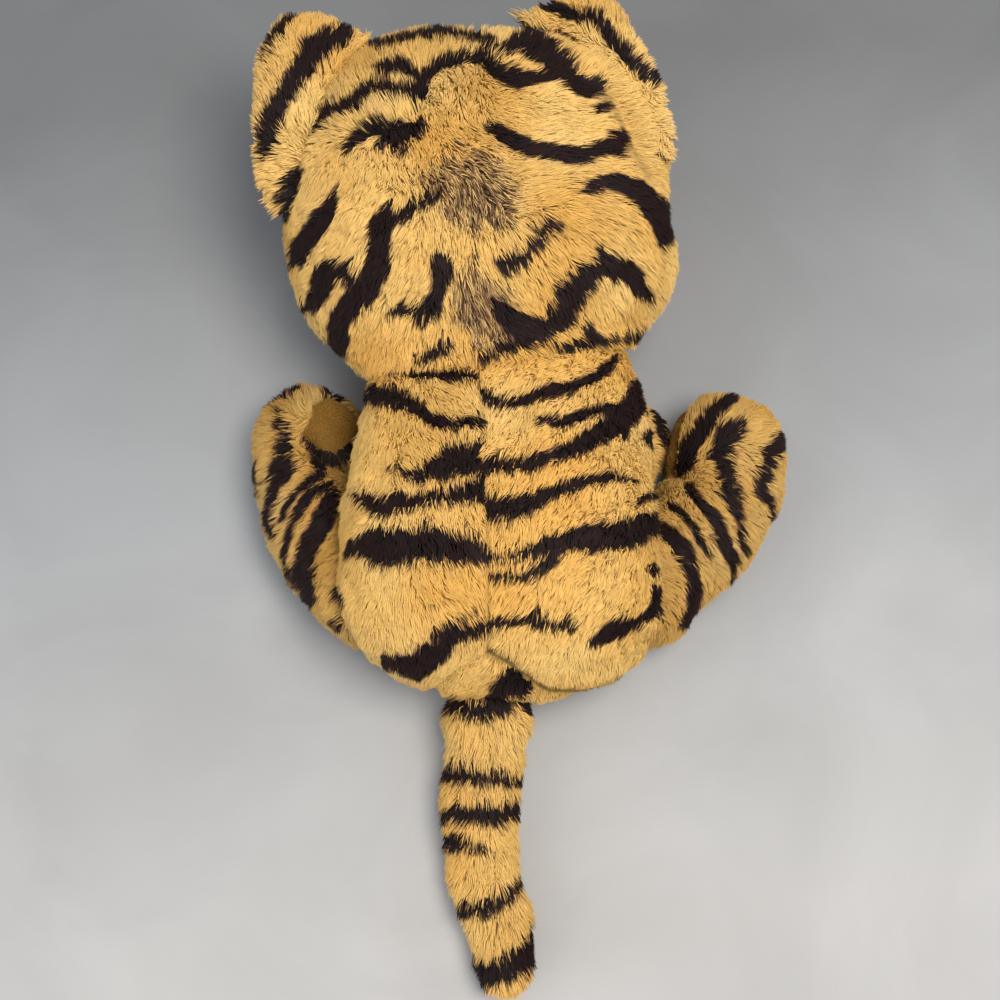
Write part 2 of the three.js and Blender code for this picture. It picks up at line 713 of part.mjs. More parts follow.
const face = onHead(block(-beyond, beyond, -beyond, beyond, -beyond, -faceSeamBelow));
const crown = onHead(block(-beyond, beyond, -beyond, beyond, -faceSeamBelow + seamGap, beyond));
const leftHalf = onHead(block(-beyond, -seamGap / 2, -beyond, beyond, -beyond, beyond));
const rightHalf = onHead(block(seamGap / 2, beyond, -beyond, beyond, -beyond, beyond));
addPiece("face_panel", headCover.intersect(face), golden);
addPiece("head_panel_left", headCover.intersect(crown).intersect(leftHalf), golden);
addPiece("head_panel_right", headCover.intersect(crown).intersect(rightHalf), golden);
addPiece("muzzle", muzzleCover, cream);
addPiece("head_stuffing", headFill, filling);

export default tiger;
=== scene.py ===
import itertools
import json
import math

import bmesh
import bpy
import numpy as np
from mathutils import Matrix, Vector
from mathutils.bvhtree import BVHTree
from mathutils.kdtree import KDTree

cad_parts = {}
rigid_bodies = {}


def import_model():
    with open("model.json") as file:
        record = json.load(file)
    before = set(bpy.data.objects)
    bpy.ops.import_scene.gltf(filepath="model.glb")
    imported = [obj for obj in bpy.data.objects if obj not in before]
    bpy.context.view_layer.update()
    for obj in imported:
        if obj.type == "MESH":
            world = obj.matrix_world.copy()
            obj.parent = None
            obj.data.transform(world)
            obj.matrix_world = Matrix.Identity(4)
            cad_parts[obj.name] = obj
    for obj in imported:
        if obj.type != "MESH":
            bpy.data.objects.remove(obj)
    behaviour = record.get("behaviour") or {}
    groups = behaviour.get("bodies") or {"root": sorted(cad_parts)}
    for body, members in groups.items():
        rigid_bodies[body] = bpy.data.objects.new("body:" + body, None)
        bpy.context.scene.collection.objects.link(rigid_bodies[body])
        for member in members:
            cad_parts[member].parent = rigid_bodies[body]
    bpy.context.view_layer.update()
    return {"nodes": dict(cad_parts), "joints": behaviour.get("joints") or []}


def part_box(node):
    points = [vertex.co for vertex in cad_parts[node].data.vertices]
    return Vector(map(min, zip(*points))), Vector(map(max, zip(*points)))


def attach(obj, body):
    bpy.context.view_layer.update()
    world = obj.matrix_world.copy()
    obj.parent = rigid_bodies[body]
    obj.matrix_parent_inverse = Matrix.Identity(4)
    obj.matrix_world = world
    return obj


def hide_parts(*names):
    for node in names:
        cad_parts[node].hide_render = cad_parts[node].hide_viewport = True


MM = 0.001
UPRIGHT = np.array((0, 0, 1))

# Empty scene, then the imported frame
for thing in list(bpy.data.objects):
    bpy.data.objects.remove(thing, do_unlink=True)
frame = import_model()
nodes = frame["nodes"]
joints = {joint["name"]: joint for joint in frame["joints"]}
neck_place = np.array(joints["neck_turn"]["pos_m"])
neck_axis = np.array(joints["neck_turn"]["axis"])

# Bodies, and the nodes that cover and fill them
EARS = ("ear_left", "ear_right")
HIND_LEGS = ("hind_leg_left", "hind_leg_right")
# The joint at a limb's root, and the radius in millimetres of the round barrel there
BARRELS = {
    "hind_leg_left": ("hip_left", 23), "hind_leg_right": ("hip_right", 23),
    "front_leg_left": ("shoulder_left", 16), "front_leg_right": ("shoulder_right", 16),
    "tail": ("tail_swing", 18),
}
COVERS = {
    "body": ["back_panel_left", "back_panel_right", "seat_panel", "belly_panel"],
    "head": ["head_panel_left", "head_panel_right", "face_panel", "muzzle"],
}
FILLINGS = {"body": ["body_stuffing", "pellet_bag"], "head": ["head_stuffing"]}
for ear in EARS:
    COVERS[ear] = [ear + "_back", ear + "_front"]
for limb in BARRELS:
    COVERS[limb] = [limb + "_upper_panel", limb + "_lower_panel"]
    FILLINGS[limb] = [limb + "_stuffing"]
for limb in HIND_LEGS:
    COVERS[limb].append(limb + "_sole")

# The camera that the photo was taken with
PHOTO_SIDE = 1000
VIEW_ANGLE = math.radians(40)
CAMERA_ELEVATION = math.radians(78)
CAMERA_DISTANCE = 600 * MM
CAMERA_TARGET = np.array((0, 26, 50)) * MM
CAMERA_FORWARD = np.array((0, math.cos(CAMERA_ELEVATION), -math.sin(CAMERA_ELEVATION)))
CAMERA_UP = np.array((0, math.sin(CAMERA_ELEVATION), math.cos(CAMERA_ELEVATION)))
CAMERA_PLACE = CAMERA_TARGET - CAMERA_DISTANCE * CAMERA_FORWARD
FOCAL_PIXELS = PHOTO_SIDE / 2 / math.tan(VIEW_ANGLE / 2)

# Places in the photo are in its pixels, x to the right and y down.
# A stripe is a line of points, each with the stripe's width there.
EAR_LEFT_ROOT = [(298, 170, 8), (290, 183, 18), (284, 198, 16), (283, 212, 12)]
EAR_RIGHT_ROOT = [(598, 110, 7), (605, 108, 9)]
STRIPES = {}
STRIPES["body"] = [
    [(376, 354, 7), (377, 365, 11), (388, 368, 9), (402, 370, 8), (417, 373, 8), (435, 374, 9),
     (455, 374, 11), (478, 375, 10)],
    [(361, 396, 14), (383, 396, 18), (412, 405, 15), (429, 418, 14), (451, 424, 13), (486, 421, 9)],
    [(388, 470, 3), (405, 472, 7), (422, 474, 14), (441, 466, 24), (456, 458, 32), (488, 456, 32)],
    [(484, 444, 6), (484, 500, 6)],
    [(354, 495, 9), (376, 508, 20), (400, 502, 18), (429, 500, 14), (456, 495, 16), (490, 488, 26)],
    [(347, 556, 6), (360, 548, 22), (378, 549, 38), (400, 547, 34), (436, 546, 32), (456, 550, 28),
     (492, 555, 15)],
    [(388, 662, 12), (417, 667, 26), (436, 655, 25), (451, 638, 14), (475, 633, 13), (494, 626, 10)],
    [(434, 635, 8), (456, 621, 6), (476, 614, 4)],
    [(335, 590, 6), (339, 600, 8)],
    [(440, 705, 8), (452, 704, 10)],
    [(470, 384, 8), (476, 392, 10), (494, 402, 12), (514, 403, 11), (538, 393, 10), (572, 388, 11),
     (594, 379, 11), (616, 360, 9)],
    [(637, 386, 12), (633, 408, 24), (618, 425, 26), (594, 439, 17), (562, 454, 15), (526, 464, 13),
     (480, 468, 18)],
    [(538, 420, 4), (565, 424, 11), (587, 413, 11), (608, 408, 11), (625, 413, 11)],
    [(480, 510, 27), (514, 510, 25), (538, 500, 15), (562, 488, 13), (587, 481, 10), (611, 478, 8),
     (637, 481, 3)],
    [(635, 507, 3), (648, 498, 7), (657, 493, 6)],
    [(480, 556, 8), (514, 556, 9), (538, 551, 14), (562, 546, 21), (587, 539, 25), (611, 539, 27),
     (635, 534, 27), (657, 524, 22)],
    [(480, 577, 6), (514, 580, 11), (538, 573, 9), (553, 563, 10)],
    [(486, 628, 8), (504, 623, 9), (533, 623, 13), (572, 628, 8)],
    [(658, 590, 8), (657, 609, 12), (642, 621, 11), (616, 631, 20), (589, 645, 6)],
    [(648, 436, 12), (656, 442, 14)],
    [(652, 566, 6), (657, 574, 5)],
    [(487, 703, 8), (500, 692, 18), (511, 684, 22), (523, 690, 16)],
]
STRIPES["head"] = [
    [(311, 128, 9), (320, 116, 11), (333, 108, 13), (345, 104, 15), (357, 96, 13), (370, 86, 11),
     (380, 85, 10), (395, 88, 10), (410, 92, 9), (424, 94, 6)],
    [(375, 69, 4), (385, 68, 9), (400, 66, 13), (408, 68, 11), (420, 75, 9), (424, 88, 8)],
    [(426, 74, 10), (436, 64, 10), (450, 58, 10), (462, 55, 10), (475, 56, 12), (488, 60, 14),
     (500, 69, 16), (510, 76, 16), (520, 80, 15), (535, 78, 12), (548, 77, 9), (556, 77, 5)],
    [(374, 44, 5), (384, 45, 7), (396, 42, 3), (410, 38, 4), (424, 34, 7), (436, 32, 9), (450, 32, 9),
     (464, 35, 8), (478, 38, 6), (492, 42, 5), (504, 46, 7), (514, 49, 6)],
    [(343, 145, 7), (352, 141, 11), (362, 133, 13), (372, 127, 16), (385, 130, 21), (400, 132, 19),
     (412, 130, 17), (423, 127, 10)],
    [(378, 146, 3), (395, 148, 4), (405, 155, 4)],
    [(490, 128, 6), (497, 127, 9), (507, 134, 11), (516, 141, 13), (527, 148, 13), (540, 149, 11),
     (553, 151, 13), (565, 155, 15), (580, 156, 16), (592, 152, 13), (604, 148, 14), (612, 144, 17),
     (617, 140, 18), (619, 150, 10)],
    [(334, 195, 8), (331, 203, 11), (324, 214, 14), (317, 225, 17), (309, 236, 16), (302, 246, 17),
     (297, 254, 17), (295, 262, 11)],
    [(438, 198, 6), (428, 200, 9), (418, 207, 9), (408, 214, 11), (396, 218, 11)],
    [(385, 218, 17), (380, 228, 21), (377, 240, 21), (376, 255, 20), (376, 268, 19), (372, 278, 23),
     (366, 288, 27), (359, 298, 25), (350, 308, 23), (342, 318, 19), (338, 328, 19), (338, 340, 18),
     (340, 350, 12), (338, 356, 6)],
    [(348, 278, 10), (338, 272, 13), (329, 270, 17), (323, 282, 19), (319, 295, 16), (312, 305, 11),
     (304, 309, 5)],
    [(441, 262, 17), (442, 272, 19), (441, 283, 15), (437, 293, 14), (433, 302, 17), (428, 311, 18),
     (420, 317, 13), (410, 312, 11), (400, 311, 12), (392, 313, 8)],
    [(415, 361, 3), (425, 358, 5), (433, 353, 8), (450, 347, 8)],
    [(560, 226, 5), (548, 229, 9), (540, 234, 10), (535, 243, 11), (530, 251, 11), (525, 258, 11),
     (514, 262, 13), (506, 266, 14), (500, 262, 8)],
    [(592, 187, 11), (600, 183, 11), (610, 180, 10), (622, 184, 13), (632, 189, 17), (643, 196, 19),
     (652, 204, 21), (660, 213, 23), (665, 225, 21), (664, 238, 14), (662, 244, 6)],
    [(650, 299, 5), (643, 291, 11), (637, 280, 17), (628, 271, 21), (617, 270, 21), (606, 268, 21),
     (597, 273, 21), (587, 279, 23), (577, 285, 27), (570, 294, 27), (567, 304, 21), (566, 313, 19),
     (558, 322, 17), (548, 329, 17), (536, 331, 21), (524, 329, 25), (512, 322, 22), (505, 314, 18),
     (498, 308, 10)],
    [(600, 247, 4), (601, 256, 9), (604, 264, 10)],
    [(545, 336, 11), (530, 342, 10), (518, 345, 11), (505, 349, 12), (495, 355, 10), (485, 360, 8)],
    [(589, 325, 5), (590, 333, 9), (597, 340, 10), (608, 342, 8), (622, 340, 7), (635, 337, 6),
     (641, 334, 4)],
    [(560, 350, 5), (572, 348, 9), (585, 346, 9), (598, 342, 7)],
    [(565, 80, 12), (578, 85, 16), (590, 89, 16), (600, 86, 14)],
    [(517, 38, 12), (530, 42, 25), (542, 48, 24), (552, 56, 25), (562, 62, 23), (568, 70, 17)],
    EAR_RIGHT_ROOT,
    EAR_LEFT_ROOT,
]
STRIPES["ear_left"] = [
    [(351, 24, 12), (340, 33, 18), (326, 42, 26), (313, 50, 28), (300, 70, 21), (284, 94, 18),
     (275, 108, 21), (270, 120, 21), (267, 134, 21), (266, 146, 18), (264, 157, 10)],
    [(292, 14, 5), (280, 26, 9), (268, 42, 8), (261, 58, 4)],
    EAR_LEFT_ROOT,
]
STRIPES["ear_right"] = [
    [(517, 38, 12), (530, 42, 25), (542, 48, 24), (552, 56, 25), (562, 62, 23), (568, 70, 17),
     (578, 84, 16), (590, 90, 16), (604, 84, 16), (614, 92, 8)],
    [(534, 0, 5), (545, 4, 9), (557, 9, 9), (570, 13, 10), (583, 16, 13), (596, 17, 15), (604, 24, 14),
     (611, 34, 13), (618, 44, 13), (626, 54, 13), (636, 62, 13), (646, 70, 11), (656, 76, 9), (661, 82, 4)],
    EAR_RIGHT_ROOT,
    [(652, 162, 7), (660, 164, 15), (664, 168, 12), (661, 173, 6)],
    [(630, 168, 7), (644, 167, 7)],
]
STRIPES["hind_leg_left"] = [
    [(278, 412, 5), (280, 433, 9), (282, 454, 16), (282, 469, 22), (274, 484, 14), (269, 505, 9),
     (267, 522, 6), (272, 536, 4)],
    [(305, 439, 6), (318, 460, 12), (320, 471, 10), (303, 486, 7), (288, 500, 5), (280, 521, 3)],
    [(330, 484, 8), (312, 492, 10), (297, 509, 9), (288, 530, 8), (284, 555, 6), (290, 576, 6),
     (297, 589, 3)],
    [(333, 496, 18), (324, 517, 22), (312, 538, 20), (305, 559, 18), (303, 580, 14), (309, 601, 10)],
    [(255, 463, 5), (254, 479, 8), (254, 496, 4)],
    [(302, 436, 4), (312, 448, 8), (326, 458, 14), (340, 460, 16), (350, 450, 12)],
    [(265, 404, 5), (293, 389, 7), (301, 387, 5)],
    [(324, 387, 6), (341, 399, 8), (349, 408, 5)],
    [(337, 588, 7), (337, 597, 8)],
    [(332, 620, 4), (339, 629, 6)],
]
STRIPES["hind_leg_right"] = [
    [(732, 397, 10), (718, 407, 14), (704, 425, 16), (690, 448, 18), (681, 469, 16)],
    [(739, 425, 18), (725, 436, 22), (723, 459, 20), (730, 478, 18), (732, 498, 16), (741, 517, 10),
     (743, 537, 8), (746, 551, 6)],
    [(782, 436, 12), (771, 457, 18), (765, 475, 12), (759, 492, 8), (769, 501, 8), (773, 521, 5)],
    [(688, 487, 8), (700, 501, 10), (718, 521, 12), (727, 547, 14), (734, 565, 10), (732, 581, 5)],
    [(668, 505, 8), (681, 514, 8), (695, 531, 6), (709, 556, 4)],
    [(661, 524, 8), (668, 535, 14), (684, 547, 16), (690, 565, 14), (695, 588, 12), (693, 606, 10),
     (684, 625, 6)],
]
STRIPES["front_leg_right"] = [
    [(632, 368, 8), (645, 378, 6)],
    [(656, 412, 5), (661, 426, 7), (666, 442, 5)],
]
STRIPES["tail"] = [
    [(444, 703, 14), (466, 711, 18), (487, 714, 20), (508, 697, 32), (520, 690, 30), (531, 703, 16)],
    [(439, 775, 13), (465, 777, 14), (493, 781, 9), (524, 781, 9)],
    [(436, 818, 15), (465, 816, 18), (498, 816, 18), (522, 809, 12)],
    [(440, 842, 14), (461, 844, 14), (478, 851, 8), (493, 854, 3)],
    [(461, 912, 14), (487, 912, 14), (508, 903, 9), (523, 881, 9)],
    [(472, 962, 10), (487, 977, 22), (508, 972, 26), (528, 957, 24), (539, 933, 12)],
]
STRIPES["front_leg_left"] = STRIPES["front_leg_right"]

# Seams and folds that show in the photo
BACK_SEAM = [(477, 364), (484, 430), (487, 510), (487, 560), (490, 650)]
SEAT_SEAM = [
    (418, 700), (446, 679), (465, 665), (490, 650), (508, 660), (528, 674), (548, 689), (584, 691),
    (611, 684), (642, 665), (657, 643),
]
SEAT_SEAM_RIGHT = SEAT_SEAM[3:]
HEAD_SEAM = [(478, 26), (470, 100), (452, 200), (448, 330), (470, 362)]
EAR_CREASE = [(547, 58), (583, 86), (608, 100), (620, 123), (633, 153), (648, 176)]
ANKLE_LEFT = [(306, 440), (322, 458), (344, 470)]
ANKLE_RIGHT = [(664, 474), (676, 478), (690, 480)]
SOLE_EDGES = {"hind_leg_left": [(290, 415), (302, 433), (318, 448), (335, 452), (350, 440)]}

# Which way the pile lies: place, then direction
NAPS = {}
NAPS["body"] = [
    (455, 400, 0.6, 0.8), (430, 445, 0.45, 0.9), (450, 523, 0.2, 1), (355, 590, -0.7, 0.7),
    (375, 600, -0.35, 0.9), (400, 610, 0, 1), (430, 590, 0.6, 0.6), (450, 600, 0.6, 0.7),
    (440, 620, 0.2, 1), (360, 440, -0.4, 0.9), (345, 520, -0.7, 0.7), (400, 400, 0.3, 0.95),
    (525, 395, -0.5, 0.85), (515, 440, -0.4, 0.9), (595, 418, -0.6, 0.8), (630, 485, -0.8, 0.6),
    (540, 495, -0.35, 0.9), (610, 510, -0.6, 0.8), (600, 575, -0.75, 0.65), (525, 600, -0.5, 0.85),
    (630, 620, -0.8, 0.5), (560, 350, -0.9, 0.3), (480, 670, -0.7, 0.6), (545, 655, -0.3, 0.9),
    (460, 705, -0.6, 0.8), (525, 700, 0.4, 0.9), (600, 670, 0.2, 1), (400, 680, -0.5, 0.85),
]
NAPS["head"] = [
    (330, 90, -0.4, -0.9), (370, 75, -0.3, -0.95), (400, 45, -0.1, -1), (370, 110, -0.3, -0.95),
    (360, 170, -0.3, 0.95), (400, 160, 0.3, 0.9), (300, 250, -0.8, 0.6), (340, 250, -0.6, 0.8),
    (380, 230, -0.4, 0.9), (415, 290, -0.4, 0.9), (350, 330, -0.3, 0.95), (450, 35, 0, -1),
    (470, 90, 0.1, 1), (476, 222, 0.2, 1), (475, 300, 0.45, 0.9), (595, 65, 0.6, -0.8),
    (630, 100, 0.8, -0.6), (650, 140, 0.95, -0.3), (445, 310, 0.1, 1), (520, 100, 0.9, 0.3),
    (560, 120, 0.95, 0.2), (600, 120, 0.95, 0.1), (520, 190, 1, 0.15), (580, 200, 0.9, 0.35),
    (640, 230, 0.8, 0.6), (540, 305, 0.6, 0.8), (600, 320, 0.5, 0.85), (510, 40, 0.3, -0.9),
]
NAPS["ear_left"] = [
    (261, 70, -0.7, -0.7), (317, 14, 0, -1), (290, 100, -0.5, -0.85), (254, 180, -1, 0.1),
    (350, 30, 0.3, -0.9), (290, 200, -0.8, 0.5),
]
NAPS["ear_right"] = [
    (540, 10, -0.2, -1), (600, 20, 0.3, -0.95), (650, 60, 0.7, -0.7), (668, 120, 1, -0.1),
    (665, 160, 0.95, 0.3), (545, 30, -0.8, 0.3), (565, 45, -0.8, 0.5), (600, 75, -0.8, 0.5),
    (625, 105, -0.85, 0.4), (645, 140, -0.85, 0.4),
]
NAPS["hind_leg_left"] = [
    (300, 395, -0.3, -0.9), (262, 420, -0.9, -0.2), (258, 470, -0.95, 0.3), (275, 450, -0.8, 0.5),
    (270, 520, -0.8, 0.6), (300, 520, -0.7, 0.7), (320, 560, -0.6, 0.8), (300, 580, -0.7, 0.7),
    (335, 610, -0.4, 0.9), (330, 500, -0.5, 0.85), (330, 430, 0.5, 0.8),
]
NAPS["hind_leg_right"] = [
    (720, 390, 0.3, -0.9), (760, 400, 0.6, -0.7), (784, 440, 0.95, -0.2), (780, 500, 0.9, 0.4),
    (700, 430, 0.1, -0.9), (740, 460, 0.6, 0.5), (730, 540, 0.6, 0.8), (700, 500, 0.6, 0.75),
    (690, 560, 0.5, 0.85), (670, 620, 0.2, 0.95), (750, 560, 0.8, 0.6),
]
NAPS["front_leg_right"] = [
    (640, 375, 0.8, 0.3), (662, 420, 0.9, 0.5),
]
NAPS["tail"] = [
    (445, 720, -0.35, 1), (488, 720, 0, 1), (525, 720, 0.35, 1), (445, 820, -0.35, 1), (480, 820, 0, 1),
    (520, 820, 0.35, 1), (460, 900, -0.3, 1), (490, 900, 0.05, 1), (522, 900, 0.3, 1), (480, 980, -0.3, 1),
    (505, 980, 0, 1), (532, 960, 0.35, 1),
]
NAPS["front_leg_left"] = NAPS["front_leg_right"]


# Photo helpers
def photo_pixels(points):
    """Where points in the frame show in the photo."""
    away = points - CAMERA_PLACE
    depth = away @ CAMERA_FORWARD
    x = PHOTO_SIDE / 2 + FOCAL_PIXELS * away[:, 0] / depth
    y = PHOTO_SIDE / 2 - FOCAL_PIXELS * (away @ CAMERA_UP) / depth
    return np.stack((x, y), 1)


def past(pixels, line, axis):
    """Whether each place is to the right of a line of the photo, with axis 0, or below it, with axis 1."""
    line = np.array(line, float)
    return pixels[:, axis] > np.interp(pixels[:, 1 - axis], line[:, 1 - axis], line[:, axis])


def line_distance(pixels, line):
    """How far each place is from a line, in pixels, and the line's third number there if it has one."""
    line = np.array(line, float)
    best = np.full(len(pixels), np.inf)
    width = np.zeros(len(pixels))
    for a, b in zip(line[:-1], line[1:]):
        along = b[:2] - a[:2]
        share = np.clip((pixels - a[:2]) @ along / (along @ along), 0, 1)
        away = np.linalg.norm(pixels - a[:2] - share[:, None] * along, axis=1)
        if len(a) > 2:
            here = a[2] + (b[2] - a[2]) * share
            nearer = away - here / 2 < best - width / 2
            width = np.where(nearer, here, width)
        else:
            nearer = away < best
        best = np.where(nearer, away, best)
    return best, width


# Large odd numbers that mix a cell of space and a seed into a number that looks random
CELL_MIX = (73856093, 19349663, 83492791)
SEED_MIX = 97531
LAST_MIX = 1274126177
LOW_32_BITS = 0xFFFFFFFF
LOW_16_BITS = 0xFFFF


def noise(points, across, seed):
    """Smooth noise from -1 to 1 at points in space, with features about across wide."""
    cells = points / across
    base = np.floor(cells).astype(np.int64)
    part = cells - base
    part = part * part * (3 - 2 * part)
    total = np.zeros(len(points))
    for corner in itertools.product((0, 1), repeat=3):
        mix = (base + np.array(corner)) * CELL_MIX
        code = mix[:, 0] ^ mix[:, 1] ^ mix[:, 2] ^ seed * SEED_MIX
        code = (code ^ (code >> 13)) * LAST_MIX & LOW_32_BITS
        code ^= code >> 16
        value = (code & LOW_16_BITS) / (LOW_16_BITS / 2) - 1
        total += np.prod(np.where(corner, part, 1 - part), 1) * value
    return total


def waves(points, *layers):
    """Layers of noise, each with a strength, a width and a seed, added up."""
    return sum(strength * noise(points, across, seed) for strength, across, seed in layers)


# Mesh helpers
NEARLY_ZERO = 1e-9


def unit(vectors):
    """Vectors made one long."""
    return vectors / np.maximum(np.linalg.norm(vectors, axis=1), NEARLY_ZERO)[:, None]


def linked(name, mesh):
    """A new object of a mesh, in the scene."""
    made = bpy.data.objects.new(name, mesh)
    bpy.context.scene.collection.objects.link(made)
    return made


def mesh_of(name, shape):
    """A new mesh of a bmesh, which is freed."""
    mesh = bpy.data.meshes.new(name)
    shape.to_mesh(mesh)
    shape.free()
    return mesh


def smooth_shaded(mesh):
    """Shades every face of a mesh smoothly."""
    mesh.polygons.foreach_set("use_smooth", np.ones(len(mesh.polygons), bool))


def triples(rows, name, kind):
    """The three numbers of each of a mesh's rows, as an array."""
    values = np.empty(len(rows) * 3, kind)
    rows.foreach_get(name, values)
    return values.reshape(-1, 3)


def coordinates(mesh):
    """A mesh's vertices as an array."""
    return triples(mesh.vertices, "co", np.float32).astype(float)


def vertex_normals(mesh):
    """A mesh's vertex normals as an array."""
    return triples(mesh.vertex_normals, "vector", np.float32).astype(float)


def reshape(thing, change, *values):
    """Moves a thing's vertices to where change says, from their places and normals."""
    mesh = thing.data
    places = change(coordinates(mesh), vertex_normals(mesh), *values)
    mesh.vertices.foreach_set("co", places.astype(np.float32).ravel())
    mesh.update()


def modified(thing, kind, **settings):
    """The object with a modifier applied."""
    modifier = thing.modifiers.new(kind, kind)
    for name, value in settings.items():
        setattr(modifier, name, value)
    bpy.context.view_layer.update()
    graph = bpy.context.evaluated_depsgraph_get()
    mesh = bpy.data.meshes.new_from_object(thing.evaluated_get(graph))
    name = thing.name
    bpy.data.objects.remove(thing, do_unlink=True)
    mesh.name = name
    return linked(name, mesh)


def largest_part(mesh):
    """Keeps only the largest connected part of a mesh."""
    shape = bmesh.new()
    shape.from_mesh(mesh)
    shape.verts.ensure_lookup_table()
    seen = np.zeros(len(shape.verts), bool)
    best = []
    for start in shape.verts:
        if seen[start.index]:
            continue
        seen[start.index] = True
        part = [start]
        for vertex in part:
            for edge in vertex.link_edges:
                other = edge.other_vert(vertex)
                if not seen[other.index]:
                    seen[other.index] = True
                    part.append(other)
        if len(part) > len(best):
            best = part
    kept = {v.index for v in best}
    bmesh.ops.delete(shape, geom=[v for v in shape.verts if v.index not in kept], context="VERTS")
    shape.to_mesh(mesh)
    shape.free()


def add_rod(shape, low, high, radius, sides):
    """Adds a closed rod between two places to a bmesh."""
    along = Vector(high) - Vector(low)
    turn = along.to_track_quat("Z", "Y").to_matrix().to_4x4()
    bmesh.ops.create_cone(
        shape, cap_ends=True, segments=sides, radius1=radius, radius2=radius, depth=along.length,
        matrix=Matrix.Translation((Vector(low) + Vector(high)) / 2) @ turn,
    )


# Cloth under the pile
SEWING_GAP = 0.4 * MM
CLOTH_VOXEL = 1.9 * MM
EAR_VOXEL = 1.3 * MM
CLOTH_INSET = 1.5 * MM
EAR_INSET = 0.8 * MM
INSETS = {"ear_left": EAR_INSET, "ear_right": EAR_INSET, **dict.fromkeys((*HIND_LEGS, "front_leg_right"), 0)}
NECK_RADIUS = 34 * MM
NECK_HALF_LENGTH = 9 * MM


def cloth(body):
    """The cloth of a body: the outer shell of its solids, drawn in to leave room for the pile."""
    shape = bmesh.new()
    for node in COVERS[body] + FILLINGS.get(body, []):
        shape.from_mesh(nodes[node].data)
    bmesh.ops.remove_doubles(shape, verts=shape.verts, dist=0.01 * MM)
    shape.normal_update()
    for vertex in shape.verts:
        vertex.co += vertex.normal * SEWING_GAP
    if body in ("body", "head"):
        reach = neck_axis * NECK_HALF_LENGTH
        add_rod(shape, neck_place - reach, neck_place + reach, NECK_RADIUS, sides=40)
    thing = linked(body + "_cloth", mesh_of(body + "_cloth", shape))
    thing = modified(thing, "REMESH", mode="VOXEL", voxel_size=EAR_VOXEL if body in EARS else CLOTH_VOXEL)
    largest_part(thing.data)
    thing = modified(thing, "SMOOTH", iterations=8)
    depth = INSETS.get(body, CLOTH_INSET) + SEWING_GAP
    reshape(thing, lambda points, normals: points - normals * depth)
    return modified(thing, "SMOOTH", iterations=2)


# Dents along seams and folds: line, depth in millimetres, width in pixels, lowest height in millimetres
GROOVES = {
    "body": [(BACK_SEAM, 1.2, 7, 40), (SEAT_SEAM, 2.4, 6, 20)],
    "head": [(HEAD_SEAM, 1.2, 7, 60), (EAR_CREASE, 3, 6, 80)],
    "hind_leg_left": [(ANKLE_LEFT, 5, 9, 15)], "hind_leg_right": [(ANKLE_RIGHT, 5, 9, 15)],
}
LEVEL_FADE = 4


def grooved(points, normals, line, depth, width, lowest):
    """The cloth drawn in along a line of the photo, on faces that look up."""
    away, _ = line_distance(photo_pixels(points), line)
    upward = np.clip(normals[:, 2] * LEVEL_FADE, 0, 1) * (points[:, 2] > lowest * MM)
    pull = depth * MM * np.exp(-((away / width) ** 2)) * upward
    return points - normals * pull[:, None]


# Where the plush bulges or sinks, in millimetres: place, push, reach
SWELLS = {}
SWELLS["head"] = [
    ((-18, 233, 80), (0, -4, 0), 34), ((3, 230, 84), (-1, -7, -1), 26), ((14, 234, 62), (0, -7, 0), 14),
    ((-84, 112, 65), (-1.8, 0, 0), 16), ((-70, 84, 60), (1.5, 2.5, 0), 16),
    ((77, 118, 65), (2.8, 0, 0), 20), ((73, 148, 78), (-6, 0, 0), 14), ((52, 198, 106), (2, 2, 6), 13),
    ((62, 182, 100), (2, 1, 5), 12),
]
SWELLS["body"] = [
    ((-63, 82, 60), (3.5, 0, 0), 14), ((54, 90, 60), (-4, 0, 0), 10), ((61, 64, 50), (7.5, 0, 0), 19),
    ((64, 44, 50), (2, 0, 0), 14), ((42, -53, 45), (1, -2.6, 0), 20), ((22, -57, 42), (0, -3.2, 0), 15),
    ((-55, -42, 48), (2.2, 1.8, 0), 18), ((-27, -56, 42), (0, -1.6, 0), 10),
]
SWELLS["hind_leg_left"] = [
    ((-109, 60, 27), (-1.4, 0, 0), 26), ((-92, 82, 27), (-1, 3.2, 0), 18), ((-100, 4, 27), (-2, -1, 0), 18),
    ((-74, -32, 24), (3.5, 4.5, 0), 14),
]
SWELLS["hind_leg_right"] = [
    ((124, 40, 27), (1.8, 0, 0), 26), ((110, 4, 27), (2.4, -1, 0), 22), ((94, 80, 27), (0, 3, 0), 22),
    ((80, 66, 27), (-3, 2.5, 0), 14), ((75, 50, 27), (-3.5, 0, 0), 12), ((78, -30, 24), (1.5, -2, 0), 14),
]
SWELLS["front_leg_right"] = [
    ((64, 88, 20), (9, 8, 3), 20), ((76, 60, 20), (3, 0, 1), 14),
]
SWELLS["tail"] = [
    ((14, -66, 22), (-1.4, 0, 0), 14), ((10, -125, 22), (-3.6, 0, 0), 20),
    ((-22, -138, 20), (-1.2, 0, 0), 14), ((-13, -166, 18), (4, 0, 0), 14),
    ((12, -165, 18), (-2.6, 0, 0), 12), ((2, -182, 18), (0, -3.4, 0), 12),
]
SWELLS["ear_left"] = [
    ((-70, 226, 100), (0, 4.5, 0), 18), ((-92, 226, 102), (0, 2.4, 0), 12),
]
SWELLS["ear_right"] = [
    ((8, 222, 100), (-8, -1, 1), 16), ((74, 166, 100), (3, 0, 0), 12), ((15, 213, 103), (-1, -13, 2), 9),
    ((60, 216, 104), (-2, -1.6, 0), 18), ((68, 158, 100), (1, -9, 0), 15),
]


